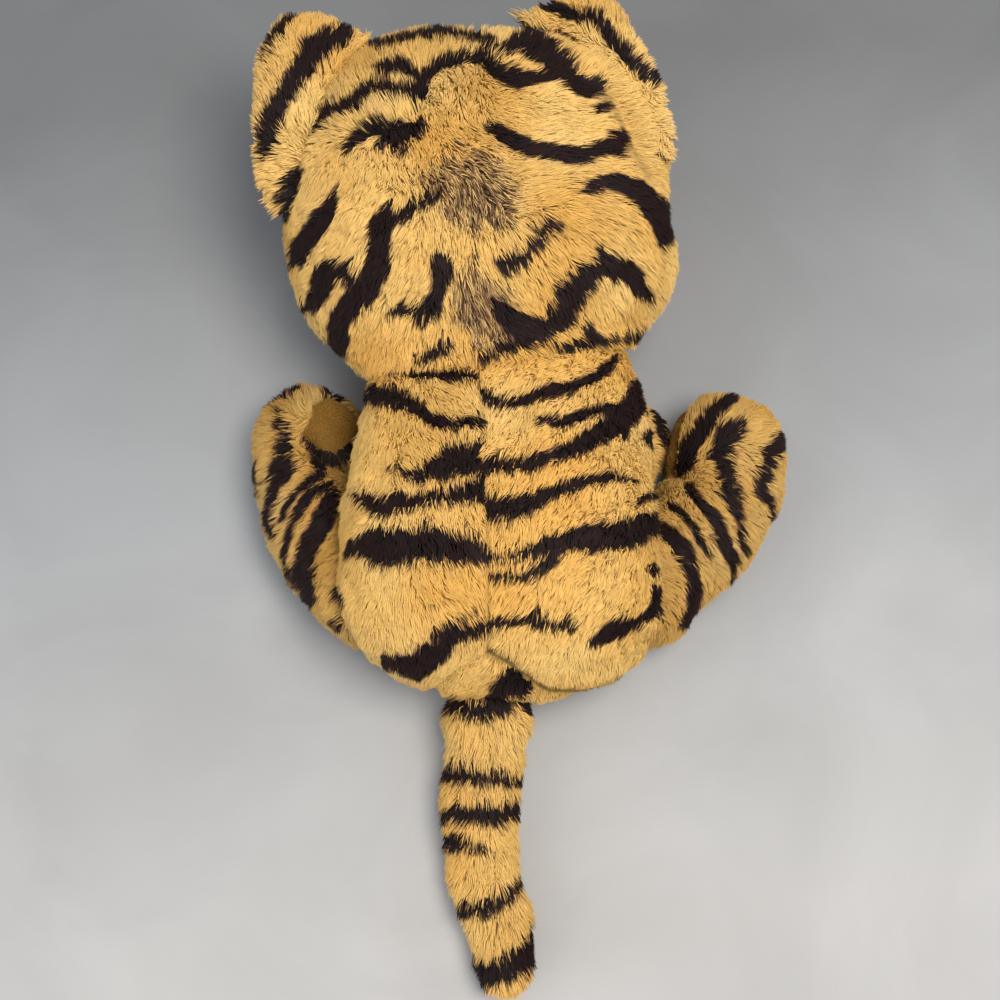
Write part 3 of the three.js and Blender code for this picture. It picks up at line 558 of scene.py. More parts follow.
def swollen(points, normals, place, push, reach):
    """The cloth pushed out round a place, by push at most, fading over reach."""
    far = np.linalg.norm(points - np.array(place) * MM, axis=1) / (reach * MM)
    return points + np.exp(-far ** 2)[:, None] * (np.array(push) * MM)


# Dents that the stuffing leaves all over: height, width across, seed
LUMPS = ((1.1 * MM, 17 * MM, 31), (0.6 * MM, 7 * MM, 31))
# The cloth's least height, on the pile that is pressed flat under it
PRESSED_PILE = 2.2 * MM
# Each ear's reach beyond its fold: the share of it kept at its middle, the change of that for each
# millimetre along the fold, the least and the most, and how far its root laps over the head
EAR_SLANTS = {
    "ear_left": (0.93, 0.0115, 0.5, 1.3, 2 * MM), "ear_right": (0.95, -0.0085, 0.72, 1.25, 11 * MM),
}
EAR_RISE = math.radians(14)
EAR_ROOT = 16 * MM


def lumpy(points, normals, *layer):
    """The cloth with soft dents and bulges."""
    return points + normals * waves(points, layer)[:, None]


def pressed(points, normals):
    """The cloth kept off the ground."""
    points[:, 2] = np.maximum(points[:, 2], PRESSED_PILE)
    return points


def slanted(points, normals, joint, share, change, least, most, lap):
    """An ear with its reach scaled along its fold, and its root lapped over the head."""
    axis = np.array(joint["axis"])
    out = np.array((-axis[1] * math.cos(EAR_RISE), axis[0] * math.cos(EAR_RISE), math.sin(EAR_RISE)))
    from_fold = points - np.array(joint["pos_m"])
    reach = np.maximum(from_fold @ out, 0)
    factor = np.clip(share + change * (from_fold @ axis) / MM, least, most)
    root = np.clip(0.5 - (from_fold @ out) / EAR_ROOT, 0, 1)[:, None]
    return points + (reach * (factor - 1))[:, None] * out + root * lap * (UPRIGHT - out)


skins = {body: cloth(body) for body in COVERS}
for body, thing in skins.items():
    for values in GROOVES.get(body, []):
        reshape(thing, grooved, *values)
    for values in SWELLS.get(body, []):
        reshape(thing, swollen, *values)
    if body not in EARS:
        for layer in LUMPS:
            reshape(thing, lumpy, *layer)
    reshape(thing, pressed)
for ear in EARS:
    reshape(skins[ear], slanted, joints[ear + "_fold"], *EAR_SLANTS[ear])


# Where the pile grows and how long it is, in millimetres
PILE_LENGTHS = {
    "body": 7.5, "head": 8.2, "ear_left": 5.5, "ear_right": 5.5, "hind_leg_left": 7.5, "hind_leg_right": 7.5,
    "front_leg_left": 6, "front_leg_right": 6, "tail": 8.5,
}
SHORT_PILE = {
    "muzzle": 3.5, "face_panel": 5, "ear_left_front": 4, "ear_right_front": 4, "hind_leg_left_sole": 1.8,
    "hind_leg_right_sole": 1.8,
}
LEAST_LENGTH = 0.85
LENGTH_RANGE = 0.3
TOP_DENSITY = 2.4 / MM ** 2
UNDER_DENSITY = 1.1 / MM ** 2
# Sides that look down: the normal's height where they begin, over what range they come in, and how high
UNDERSIDE = (0.2, 0.6, 45 * MM)
PRESSED_SIDE = (0.1, 0.5, 12 * MM)
PRESSED_SHORTER = 0.45
SOCKET_GAP = 1 * MM
SOCKET_LIP = 2 * MM
EAR_ROOT_LONGER = 0.7
EAR_ROOT_REACH = 6 * MM
# Shorter pile in seams: line, how much shorter, width in pixels
SEAMS = {
    "body": [(BACK_SEAM, 0.4, 3.5), (SEAT_SEAM, 0.8, 7)],
    "head": [(HEAD_SEAM, 0.35, 3.5), (EAR_CREASE, 0.45, 4)],
    "hind_leg_left": [(ANKLE_LEFT, 0.7, 4)], "hind_leg_right": [(ANKLE_RIGHT, 0.7, 4)],
}
SEAM_LOWEST = 20 * MM
# Shorter pile where a body lies against its neighbours
NEIGHBOURS = {"body": [*HIND_LEGS, "head"], **dict.fromkeys((*HIND_LEGS, "head"), ["body"])}
CREASE_REACH = 5 * MM
CREASE_LEAST = 0.75
LIMB_CREASE_LEAST = 0.35


def panel_finder(cover):
    """For points near a body's cover, which of its panels each is nearest to."""
    places, faces, owner = [], [], []
    for number, node in enumerate(cover):
        mesh = nodes[node].data
        start = len(places)
        places.extend(coordinates(mesh))
        for face in mesh.polygons:
            faces.append([start + k for k in face.vertices])
            owner.append(number)
    tree = BVHTree.FromPolygons([Vector(p) for p in places], faces)

    def find(points):
        return np.array([owner[tree.find_nearest(Vector(p))[2]] for p in points])

    return find


def surface_distance(mesh, points, reach):
    """How far each point is from a mesh, or reach if it is further."""
    tree = BVHTree.FromPolygons([v.co for v in mesh.vertices], [p.vertices for p in mesh.polygons])
    far = [tree.find_nearest(Vector(p), reach)[3] for p in points]
    return np.array([reach if d is None else d for d in far])


def facing_down(places, normals, begin, span, highest):
    """How much each place belongs to a side that looks down, from 0 to 1."""
    return np.clip((begin - normals[:, 2]) / span, 0, 1) * (places[:, 2] < highest)


def scattered(mesh, random):
    """Points spread over a mesh's triangles, with normals, and fewer of them on the underside."""
    mesh.calc_loop_triangles()
    corners = triples(mesh.loop_triangles, "vertices", np.int32)
    places = coordinates(mesh)
    normals = vertex_normals(mesh)
    a, b, c = places[corners[:, 0]], places[corners[:, 1]], places[corners[:, 2]]
    cross = np.cross(b - a, c - a)
    area = np.linalg.norm(cross, axis=1) / 2
    under = facing_down((a + b + c) / 3, unit(cross), *UNDERSIDE)
    density = TOP_DENSITY + (UNDER_DENSITY - TOP_DENSITY) * under
    count = np.floor(area * density + random.random(len(area))).astype(int)
    pick = np.repeat(np.arange(len(area)), count)
    u = random.random(len(pick))
    v = random.random(len(pick))
    over = u + v > 1
    u[over], v[over] = 1 - u[over], 1 - v[over]
    shares = np.stack((1 - u - v, u, v))[:, :, None]
    chosen = corners[pick]
    points = sum(shares[k] * places[chosen[:, k]] for k in range(3))
    ups = sum(shares[k] * normals[chosen[:, k]] for k in range(3))
    return points, unit(ups)


def in_socket(body, points):
    """Which places lie in the sockets of the limbs or of the neck, where no pile grows."""
    hidden = np.zeros(len(points), bool)
    if body == "body":
        for limb, (joint, radius) in BARRELS.items():
            place = joints[joint]["pos_m"]
            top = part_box(limb + "_upper_panel")[1].z
            across = np.hypot(points[:, 0] - place[0], points[:, 1] - place[1])
            hidden |= (across < radius * MM + SOCKET_GAP) & (points[:, 2] < top - SOCKET_LIP)
    if body in ("body", "head"):
        from_neck = points - neck_place
        height = from_neck @ neck_axis
        across = np.linalg.norm(from_neck - height[:, None] * neck_axis, axis=1)
        end = 1 if body == "body" else -1
        hidden |= (across < NECK_RADIUS + SOCKET_GAP) & (height * end > -SOCKET_LIP)
    return hidden


def seamed(values, seams, pixels, heights):
    """Values made less in seams. Each has a line of the photo, a share to take off and a width."""
    for line, share, width in seams:
        away, _ = line_distance(pixels, line)
        values = values * (1 - share * np.exp(-((away / width) ** 2)) * (heights > SEAM_LOWEST))
    return values


def pile_lengths(body, panels, points, ups, down, random):
    """How long each strand is."""
    lengths = np.full(len(points), float(PILE_LENGTHS[body]))
    for number, name in enumerate(COVERS[body]):
        lengths[panels == number] = SHORT_PILE.get(name, PILE_LENGTHS[body])
    if body in EARS:
        joint = joints[body + "_fold"]
        out = np.array((-joint["axis"][1], joint["axis"][0], 0))
        beyond = np.maximum((points - np.array(joint["pos_m"])) @ out, 0)
        lengths *= 1 + EAR_ROOT_LONGER * np.exp(-beyond / EAR_ROOT_REACH) * (ups[:, 2] > 0)
    lengths *= 1 - PRESSED_SHORTER * down
    lengths = seamed(lengths, SEAMS.get(body, []), photo_pixels(points), points[:, 2])
    least = LIMB_CREASE_LEAST if body in BARRELS else CREASE_LEAST
    for other in NEIGHBOURS.get(body, []):
        away = surface_distance(skins[other].data, points, CREASE_REACH)
        lengths *= least + (1 - least) * np.clip(away / CREASE_REACH, 0, 1)
    return lengths * ((LEAST_LENGTH + LENGTH_RANGE * random.random(len(points))) * MM)


# How the pile lies: a strand's lean at its root and its tip, from upright
LEAN_ROOT = math.radians(32)
LEAN_TIP = math.radians(75)
FLUFFY_TIP = math.radians(66)
FLUFFY = ("head", *EARS, *HIND_LEGS, "front_leg_right", "tail")
PRESSED_LEAN = 0.3
MOST_LEAN = 1.62
ROOT_DEPTH = 0.3 * MM
# Waves of the pile in radians, with each strand's own stray: about the normal, and up and down
SWIRLS = ((0.38, 9 * MM, 21), (0.28, 3.2 * MM, 22))
SWIRL_STRAY = 0.16
RISE = (0.16, 6 * MM, 23)
RISE_STRAY = 0.12
# Strands lean together into tufts, and again into small clumps: the spacing, then how much
CLUMPS = ((6.5 * MM, 0.26), (2.4 * MM, 0.42))
CLUMP_STRAY = 0.18
CLUMP_MOST = 0.8
CLUMP_SHORTEST = 3 * MM
CLUMP_AT_MIDDLE = 0.35
# A direction of the photo counts by one over its squared distance in pixels plus the core, to this power
NAP_CORE = 60
NAP_POWER = 1.5
LEAST_TILT = 0.2


def nap(points, normals, controls):
    """The direction in which the pile lies, along the surface, from the photo's directions."""
    pixels = photo_pixels(points)
    flow = np.zeros((len(points), 2))
    for x, y, dx, dy in controls:
        near = 1 / ((pixels[:, 0] - x) ** 2 + (pixels[:, 1] - y) ** 2 + NAP_CORE) ** NAP_POWER
        size = math.hypot(dx, dy)
        flow += near[:, None] * np.array((dx / size, -dy / size))
    level = unit(np.column_stack((flow, np.zeros(len(points)))))
    tilt = np.maximum(1 + normals[:, 2], LEAST_TILT)
    turned = level - ((level * normals).sum(1) / tilt)[:, None] * (normals + UPRIGHT)
    turned -= (turned * normals).sum(1)[:, None] * normals
    return unit(turned)


def turned_about(directions, normals, angles):
    """Directions turned about the normals."""
    return directions * np.cos(angles)[:, None] + np.cross(normals, directions) * np.sin(angles)[:, None]


def leaders_of(roots, spacing, random):
    """For each strand, the nearest of a set of strands about a spacing apart."""
    count = max(1, int(len(roots) / (TOP_DENSITY * spacing ** 2)))
    leaders = random.choice(len(roots), count, replace=False)
    tree = KDTree(count)
    for k, leader in enumerate(leaders):
        tree.insert(Vector(roots[leader]), k)
    tree.balance()
    return np.array([leaders[tree.find(Vector(p))[1]] for p in roots])


def combed(body, points, ups, lengths, down, random):
    """The way that the pile flows, and each strand's root, middle and tip."""
    swirl = waves(points, *SWIRLS) + SWIRL_STRAY * random.standard_normal(len(points))
    flow = turned_about(nap(points, ups, NAPS[body]), ups, swirl)
    rise = waves(points, RISE) + RISE_STRAY * random.standard_normal(len(points))
    at_tip = FLUFFY_TIP if body in FLUFFY else LEAN_TIP
    leans = (LEAN_ROOT + rise, np.minimum(at_tip + rise + PRESSED_LEAN * down, MOST_LEAN))
    first, second = (ups * np.cos(lean)[:, None] + flow * np.sin(lean)[:, None] for lean in leans)
    roots = points - ups * ROOT_DEPTH
    mids = roots + first * (lengths / 2)[:, None]
    tips = mids + second * (lengths / 2)[:, None]
    for spacing, share in CLUMPS:
        leader = leaders_of(roots, spacing, random)
        pull = np.clip(share + CLUMP_STRAY * random.standard_normal(len(points)), 0, CLUMP_MOST)
        pull *= lengths > CLUMP_SHORTEST
        tips = tips + (tips[leader] - tips) * pull[:, None]
        mids = mids + (mids[leader] - mids) * (pull * CLUMP_AT_MIDDLE)[:, None]
    return flow, roots, mids, tips


# Colours of the pile
def linear(code):
    """A hexadecimal screen colour as three linear numbers, by the sRGB formula."""
    parts = [int(code[k:k + 2], 16) / 255 for k in (0, 2, 4)]
    return np.array([c / 12.92 if c <= 0.04045 else ((c + 0.055) / 1.055) ** 2.4 for c in parts])


GOLD = linear("DAA754")
GOLD_PALE = linear("E6BF74")
GOLD_DULL = linear("C0924B")
STRIPE = linear("140B0C")
STRIPE_EDGE = linear("6E4038")
CREAM = linear("EADBB4")
SOLE = linear("99702F")
# Slow changes between the golds: strength, width and seed, and the share where the wave is level
PALE_WAVE = (0.6, 26 * MM, 11)
PALE_LEVEL = 0.5
DULL_WAVE = (0.5, 14 * MM, 12)
DULL_LEVEL = -0.1
CREAM_CHANGE = 0.08
SOLE_CHANGE = 0.12
FACE_STRIPES = 0.4
# How far stripes wander in pixels, over what width, and a seed each for x and y
WANDERS = ((3.2, 7 * MM, (3, 4)), (1.8, 2.2 * MM, (5, 6)))
# In pixels: what is added to a stripe's half width, its edge's blur, and how far the two can reach
WIDE_SPREAD = 2.4
STRIPE_SPREAD = {**dict.fromkeys(("body", *EARS, "hind_leg_right", "tail"), 1.2), "hind_leg_left": 1}
STRIPE_BLUR = 2.0
STRIPE_MARGIN = 6
# The heights in millimetres between which stripes fade out on the way down
FADE = {"body": (16, 30), "head": (30, 46), "tail": (-2, -1), **dict.fromkeys(HIND_LEGS, (6, 14))}
# Mottled patches on the head, in pixels: middle, half width, half height, and how dark
PATCHES = [
    (468, 190, 44, 44, 0.9), (492, 210, 24, 26, 1.6), (474, 300, 22, 40, 0.9), (494, 318, 26, 44, 0.9),
    (392, 222, 14, 12, 0.9),
]
PATCH_TONES = np.array([linear(code) for code in ("3E2A1C", "6C4E38", "94704A", "C09E68")])
PATCH_LEVEL = 2.2
PATCH_FALL = 2
PATCH_MOST = 0.92
PATCH_LOWEST = 60 * MM
PATCH_EDGE = (0.8, 5 * MM, 13)
PATCH_TUFTS = (0.25, 3 * MM, 14)


def mixed(first, second, share):
    """Colours between two others."""
    return first + (second - first) * share[:, None]


def stripe_share(body, points, roots):
    """How dark each place is from its body's stripes, from 0 to 1. None crosses the seam of the back."""
    wander = 0
    for strength, across, seeds in WANDERS:
        wander = wander + np.stack([noise(points, across, seed) for seed in seeds], 1) * strength
    pixels = photo_pixels(points) + wander
    right = past(photo_pixels(roots), BACK_SEAM, 0)
    spread = STRIPE_SPREAD.get(body, WIDE_SPREAD)
    dark = np.zeros(len(points))
    for line in STRIPES[body]:
        spots = np.array(line, float)
        margin = spots[:, 2].max() + STRIPE_MARGIN
        low = spots[:, :2].min(0) - margin
        high = spots[:, :2].max(0) + margin
        near = ((pixels > low) & (pixels < high)).all(1)
        if body == "body":
            near &= right == past(spots.mean(0)[None], BACK_SEAM, 0)
        if near.any():
            away, width = line_distance(pixels[near], line)
            inside = np.clip((width / 2 + spread - away) / STRIPE_BLUR + 0.5, 0, 1)
            dark[near] = np.maximum(dark[near], inside)
    if body in FADE:
        low, high = FADE[body]
        dark *= np.clip((points[:, 2] / MM - low) / (high - low), 0, 1)
    return dark


def patched(colour, points, random):
    """The head's colour with its mottled patches."""
    pixels = photo_pixels(points)
    for x, y, wide, tall, power in PATCHES:
        far = np.hypot((pixels[:, 0] - x) / wide, (pixels[:, 1] - y) / tall)
        share = np.clip(PATCH_LEVEL - PATCH_FALL * far + waves(points, PATCH_EDGE), 0, PATCH_MOST)
        share *= points[:, 2] > PATCH_LOWEST
        tone = random.random(len(points)) ** power + waves(points, PATCH_TUFTS)
        tone = np.clip(tone * len(PATCH_TONES), 0, len(PATCH_TONES) - 1).astype(int)
        picked = random.random(len(points)) < share
        colour = np.where(picked[:, None], PATCH_TONES[tone], colour)
    return colour


def panel_slot(panel):
    """The record's material slot of a panel."""
    if panel == "muzzle" or panel.endswith("_front"):
        return "cream_fur"
    return "sole_fabric" if panel.endswith("_sole") else "golden_fur"


def base_colours(body, panels, points, roots, random):
    """The colour at each place, without changes from strand to strand, and how dark its stripe is."""
    slow = noise(points, *PALE_WAVE[1:])
    colour = mixed(GOLD, GOLD_PALE, np.clip(PALE_LEVEL + PALE_WAVE[0] * slow, 0, 1))
    colour = mixed(colour, GOLD_DULL, np.clip(waves(points, DULL_WAVE) + DULL_LEVEL, 0, 1))
    dark = stripe_share(body, points, roots)
    if body == "head":
        colour = patched(colour, points, random)
    plain = {"cream_fur": (CREAM, CREAM_CHANGE), "sole_fabric": (SOLE, SOLE_CHANGE)}
    for number, name in enumerate(COVERS[body]):
        mine = panels == number
        if panel_slot(name) in plain:
            shade, change = plain[panel_slot(name)]
            colour[mine] = shade * (1 + change * slow[mine])[:, None]
            dark[mine] = 0
        elif name == "face_panel":
            dark[mine] *= FACE_STRIPES
    return colour, dark


# Changes of colour from strand to strand and along each, with painted shade at the roots and middles and
# painted light at the tips
TIP_WEIGHT = 0.4
COLOUR_STRAY = 1.1 * MM
STRAND_CHANGE = 0.07
# A wave of lighter and darker pile: tone that differs at random, and painted shade between tufts
SPOTS_AND_TUFT_SHADE = (0.08, 5 * MM, 24)
# Painted shade on the hind legs
PAINTED_LEG_SHADE = {"hind_leg_left": 0.74, "hind_leg_right": 0.8}
EDGE_SHARE = 0.5
# TIP_LIGHT is painted light at the tips; ROOT_SHADE and MIDDLE_SHADE are painted shade down the strands
TIP_LIGHT = 1.16
TIP_EDGE = 0.1
ROOT_SHADE = 0.62
MIDDLE_SHADE = 0.95
# Painted shade in seams and creases: line, how much darker, width in pixels
PAINTED_SEAM_SHADE = {
    "body": [(SEAT_SEAM_RIGHT, 0.75, 2.4), (BACK_SEAM, 0.25, 2.4)], "head": [(EAR_CREASE, 0.35, 4)],
    "hind_leg_left": [(ANKLE_LEFT, 0.6, 4)],
}


def painted(body, panels, points, flow, roots, mids, tips, random):
    """Each strand's colour, with painted shade on the hind legs and in seams, and its tip's colour, with
    painted light.
    """
    seen = mids * (1 - TIP_WEIGHT) + tips * TIP_WEIGHT
    strayed = seen + flow * (COLOUR_STRAY * random.standard_normal(len(points)))[:, None]
    colour, dark = base_colours(body, panels, strayed, roots, random)
    shift = 1 + STRAND_CHANGE * random.standard_normal(len(points)) + waves(points, SPOTS_AND_TUFT_SHADE)
    # Painted shade in seams and creases
    shift = seamed(shift, PAINTED_SEAM_SHADE.get(body, []), photo_pixels(seen), points[:, 2])
    # Painted shade on the hind legs
    colour = mixed(colour * shift[:, None] * PAINTED_LEG_SHADE.get(body, 1), STRIPE, dark)
    edge = np.clip(1 - np.abs(dark - 0.5) * 2, 0, 1)
    colour = mixed(colour, STRIPE_EDGE, edge * EDGE_SHARE)
    # The tip's colour gets painted light
    return colour, colour * TIP_LIGHT + (STRIPE_EDGE - colour) * (TIP_EDGE * dark)[:, None]


# Material helpers
def set_inputs(tree, part, values):
    """Sets inputs of a material's node, each to a plain value or to another node's output."""
    for name, value in values.items():
        if isinstance(value, bpy.types.NodeSocket):
            tree.links.new(value, part.inputs[name])
        else:
            part.inputs[name].default_value = value


def add_part(tree, kind, values, **settings):
    """Adds a node to a material, with its settings and inputs."""
    made = tree.nodes.new("ShaderNode" + kind)
    for name, value in settings.items():
        setattr(made, name, value)
    set_inputs(tree, made, values)
    return made


def new_material(name):
    """A new material, its nodes and its shader."""
    made = bpy.data.materials.new(name)
    made.use_nodes = True
    return made, made.node_tree, made.node_tree.nodes["Principled BSDF"]


# Pile and the cloth under it
def pile_material(name, roughness, sheen, tint):
    """Fur or cloth whose colour is painted on its points."""
    made, tree, shader = new_material(name)
    paint = add_part(tree, "Attribute", {}, attribute_name="pile")
    set_inputs(tree, shader, {
        "Base Color": paint.outputs["Color"], "Roughness": roughness, "Specular IOR Level": 0.15,
        "Sheen Weight": sheen, "Sheen Roughness": 0.5, "Sheen Tint": (*tint, 1),
    })
    return made


PILE_MATERIALS = {
    "golden_fur": pile_material("plush_pile", roughness=0.62, sheen=0.05, tint=(1, 0.86, 0.62)),
    "cream_fur": pile_material("cream_pile", roughness=0.66, sheen=0.2, tint=(1, 0.95, 0.85)),
    "sole_fabric": pile_material("sole_pile", roughness=0.8, sheen=0.15, tint=(1, 0.85, 0.6)),
}
backing = pile_material("knitted_backing", roughness=0.9, sheen=0, tint=(1, 1, 1))


def paint_points(mesh, colours):
    """Paints colours on a mesh's points."""
    shades = np.column_stack((colours, np.ones(len(colours))))
    layer = mesh.color_attributes.new("pile", "FLOAT_COLOR", "POINT")
    layer.data.foreach_set("color", shades.astype(np.float32).ravel())


# The mesh of a strand: three points round its root, three round its middle, and its tip
STRAND_FACES = [(2, 1, 0), (0, 1, 4, 3), (1, 2, 5, 4), (2, 0, 3, 5), (3, 4, 6), (4, 5, 6), (5, 3, 6)]
STRAND_POINTS = 7
STRAND_RADIUS = 0.3 * MM
LEAST_RADIUS = 0.8
RADIUS_RANGE = 0.4
MIDDLE_RADIUS = 0.85
FLOOR_GAP = 0.4 * MM
# A strand is shaded like the cloth that it grows on, turned up a little and rounded
SKYWARD = np.array((0, 0, 0.4))
STRAND_ROUND = 0.7
# A direction that hardly any strand has
ASKEW = np.array((0.31, 0.17, 0.93))
# Where a strand's points lie in its own cell of the texture layout
CELL_U = np.array((0.15, 0.15, 0.15, 0.5, 0.5, 0.5, 0.85))
CELL_V = np.array((0.2, 0.5, 0.8, 0.2, 0.5, 0.8, 0.5))
PIECE_LIMIT = 19500


def strand_points(pile):
    """Where the points of each strand are, and which way each is shaded."""
    axis = unit(pile["tips"] - pile["roots"])
    side = unit(np.cross(axis, ASKEW))
    other = np.cross(axis, side)
    radii = pile["radii"][:, None]
    skyward = pile["ups"] + SKYWARD
    places = np.empty((len(axis), STRAND_POINTS, 3))
    facing = np.empty((len(axis), STRAND_POINTS, 3))
    for k in range(3):
        turn = 2 * math.pi * k / 3
        around = side * math.cos(turn) + other * math.sin(turn)
        places[:, k] = pile["roots"] + around * radii
        places[:, 3 + k] = pile["mids"] + around * radii * MIDDLE_RADIUS
        facing[:, k] = facing[:, 3 + k] = unit(skyward + around * STRAND_ROUND)
    places[:, 6] = pile["tips"]
    facing[:, 6] = unit(skyward)
    places[:, :, 2] = np.maximum(places[:, :, 2], FLOOR_GAP)
    return places, facing


def strands(name, pile, body, slot_name):
    """One mesh of closed three-sided strands, with a colour at each point and a cell each in the layout."""
    places, facing = strand_points(pile)
    index = np.arange(len(places))[:, None]
    flat = np.array([corner for face in STRAND_FACES for corner in face])
    loops = (index * STRAND_POINTS + flat).ravel()
    ends = np.cumsum([len(face) for face in STRAND_FACES])
    starts = (index * ends[-1] + np.concatenate(([0], ends[:-1]))).ravel()
    mesh = bpy.data.meshes.new(name)
    mesh.vertices.add(len(places) * STRAND_POINTS)
    mesh.vertices.foreach_set("co", places.astype(np.float32).ravel())
    mesh.loops.add(len(loops))
    mesh.loops.foreach_set("vertex_index", loops.astype(np.int32))
    mesh.polygons.add(len(starts))
    mesh.polygons.foreach_set("loop_start", starts.astype(np.int32))
    mesh.update(calc_edges=True)
    smooth_shaded(mesh)
    shades = np.empty(places.shape)
    # Painted shade at the roots and middles, painted light at the tips
    shades[:, :3] = (pile["colours"] * ROOT_SHADE)[:, None]
    shades[:, 3:6] = (pile["colours"] * MIDDLE_SHADE)[:, None]
    shades[:, 6] = pile["tip_colours"]
    paint_points(mesh, shades.reshape(-1, 3))
    shading = mesh.attributes.new("custom_normal", "FLOAT_VECTOR", "POINT")
    shading.data.foreach_set("vector", facing.astype(np.float32).ravel())
    cells = math.ceil(math.sqrt(len(places)))
    u = (index % cells + CELL_U[flat]) / cells
    v = (index // cells + CELL_V[flat]) / cells
    layout = mesh.uv_layers.new(name="OFBake")
    layout.uv.foreach_set("vector", np.stack((u, v), 2).astype(np.float32).ravel())
    mesh.materials.append(PILE_MATERIALS[slot_name])
    thing = linked(name, mesh)
    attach(thing, body)
    return thing


def plant(body, panels, pile):
    """Makes the strands of each panel of a body, in slices where there are very many."""
    for number, name in enumerate(COVERS[body]):
        mine = np.flatnonzero(panels == number)
        if len(mine) == 0:
            continue
        mine = mine[np.argsort(pile["points"][mine, 1])]
        slices = math.ceil(len(mine) / PIECE_LIMIT)
        for k, part in enumerate(np.array_split(mine, slices)):
            title = f"{name}_pile" if slices == 1 else f"{name}_pile_{k + 1}"
            chosen = {key: values[part] for key, values in pile.items()}
            piece = strands(title, chosen, body, panel_slot(name))
            if k == 0:
                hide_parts(name)


def grow(body, thing, random):
    """Grows the pile of a body on its cloth, and paints the cloth as it shows between strands, with the
    painted shade of the roots.
    """
    find = panel_finder(COVERS[body])
    points, ups = scattered(thing.data, random)
    bare = in_socket(body, points)
    points, ups = points[~bare], ups[~bare]
    panels = find(points)
    if body in SOLE_EDGES:
        beyond = past(photo_pixels(points), SOLE_EDGES[body], 1) & (points[:, 2] > SEAM_LOWEST)
        panels[(panels == len(COVERS[body]) - 1) & beyond] = 0
    down = facing_down(points, ups, *PRESSED_SIDE)
    lengths = pile_lengths(body, panels, points, ups, down, random)
    flow, roots, mids, tips = combed(body, points, ups, lengths, down, random)
    colours, tip_colours = painted(body, panels, points, flow, roots, mids, tips, random)
    radii = STRAND_RADIUS * (LEAST_RADIUS + RADIUS_RANGE * random.random(len(points)))
    plant(body, panels, {
        "points": points, "roots": roots, "ups": ups, "mids": mids, "tips": tips, "radii": radii,
        "colours": colours, "tip_colours": tip_colours,
    })
    places = coordinates(thing.data)
    colour, dark = base_colours(body, find(places), places, places, random)
    # The cloth between strands gets the roots' painted shade
    paint_points(thing.data, mixed(colour, STRIPE, dark) * ROOT_SHADE)
    thing.data.materials.clear()
    thing.data.materials.append(backing)
    smooth_shaded(thing.data)
    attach(thing, body)
    if body in FILLINGS:
        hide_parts(*FILLINGS[body])


random = np.random.default_rng(seed=20)
for body, thing in skins.items():
    grow(body, thing, random)


# Eyes, nose and washers
def plastic_material(name, colour, roughness, coat, grain_scale, grain_depth):
    """Moulded plastic with a fine grain."""
    made, tree, shader = new_material(name)
    grain = add_part(tree, "TexNoise", {"Scale": grain_scale})
    bump = add_part(tree, "Bump", {"Strength": grain_depth, "Height": grain.outputs["Fac"]})
    set_inputs(tree, shader, {
        "Base Color": (*colour, 1), "Roughness": roughness, "Coat Weight": coat,
        "Normal": bump.outputs["Normal"],
    })
    return made


dark_plastic = plastic_material(
    "dark_plastic", (0.012, 0.007, 0.005), roughness=0.12, coat=0.5, grain_scale=900, grain_depth=0.02
)
washer_plastic = plastic_material(
    "washer_plastic", (0.72, 0.72, 0.68), roughness=0.55, coat=0, grain_scale=500, grain_depth=0.08
)
SHANK_RADIUS = 2 * MM
RIM_DEPTH = 1 * MM
# Points further from the axis than this many shank radii are the dome's
DOME_FROM = 1.5


def fixing(name, washer):
    """A smooth plastic eye or nose with its shank, in the place of a CAD node, on the washer's axis."""
    places = coordinates(washer.data)
    middle = places.mean(0)
    axis = np.linalg.eigh(np.cov((places - middle).T))[1][:, 0]
    points = coordinates(nodes[name].data) - middle
    wide = np.linalg.norm(points - (points @ axis)[:, None] * axis, axis=1) > SHANK_RADIUS * DOME_FROM
    if (points[wide] @ axis).mean() < 0:
        axis = -axis
    turn = math.atan2(neck_axis[0], neck_axis[1])
    across = np.array((math.cos(turn), -math.sin(turn), 0))
    across = unit((across - (across @ axis) * axis)[None])[0]
    along = np.cross(axis, across)
    heights = points @ axis
    rim = heights[wide].min()
    dome = heights.max() - rim
    half_width = np.abs(points[wide] @ across).max()
    half_length = np.abs(points[wide] @ along).max()
    shape = bmesh.new()
    bmesh.ops.create_uvsphere(shape, u_segments=40, v_segments=20, radius=1)
    for vertex in shape.verts:
        x, y, z = vertex.co
        height = rim + z * (dome if z > 0 else RIM_DEPTH)
        vertex.co = middle + across * x * half_width + along * y * half_length + axis * height
    add_rod(shape, middle + axis * heights.min(), middle + axis * rim, SHANK_RADIUS, sides=24)
    mesh = mesh_of(name + "_dome", shape)
    smooth_shaded(mesh)
    mesh.materials.append(dark_plastic)
    made = linked(name + "_dome", mesh)
    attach(made, "head")
    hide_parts(name)


for name in ("eye_left", "eye_right", "nose"):
    washer = nodes[name + "_washer"]
    fixing(name, washer)
    washer.data.materials.clear()
    washer.data.materials.append(washer_plastic)


# The sheet that the toy lies on
# The sheet's tones along its wrinkles, darker in their hollows: painted shade
WRINKLE_SHADES = ((0, (0.38, 0.37, 0.36)), (1, (0.56, 0.55, 0.54)))
# Painted shade: the sheet darkens beyond the head, between these distances along a line turned a little from
# the y axis
SHADE_TURN = math.radians(-6)
SHADE_RANGE = (-0.16, 1.1)
# Levels of that painted shade at shares of the range, the middle ones tinted a little blue
SHADE_TINT = np.array((1, 1.04, 1.09))
SHADES = (
    (0, (1, 1, 1)), (0.16, 0.72 * SHADE_TINT), (0.33, 0.38 * SHADE_TINT), (0.45, 0.36 * SHADE_TINT),
    (1, (0.8, 0.82, 0.84)),
)
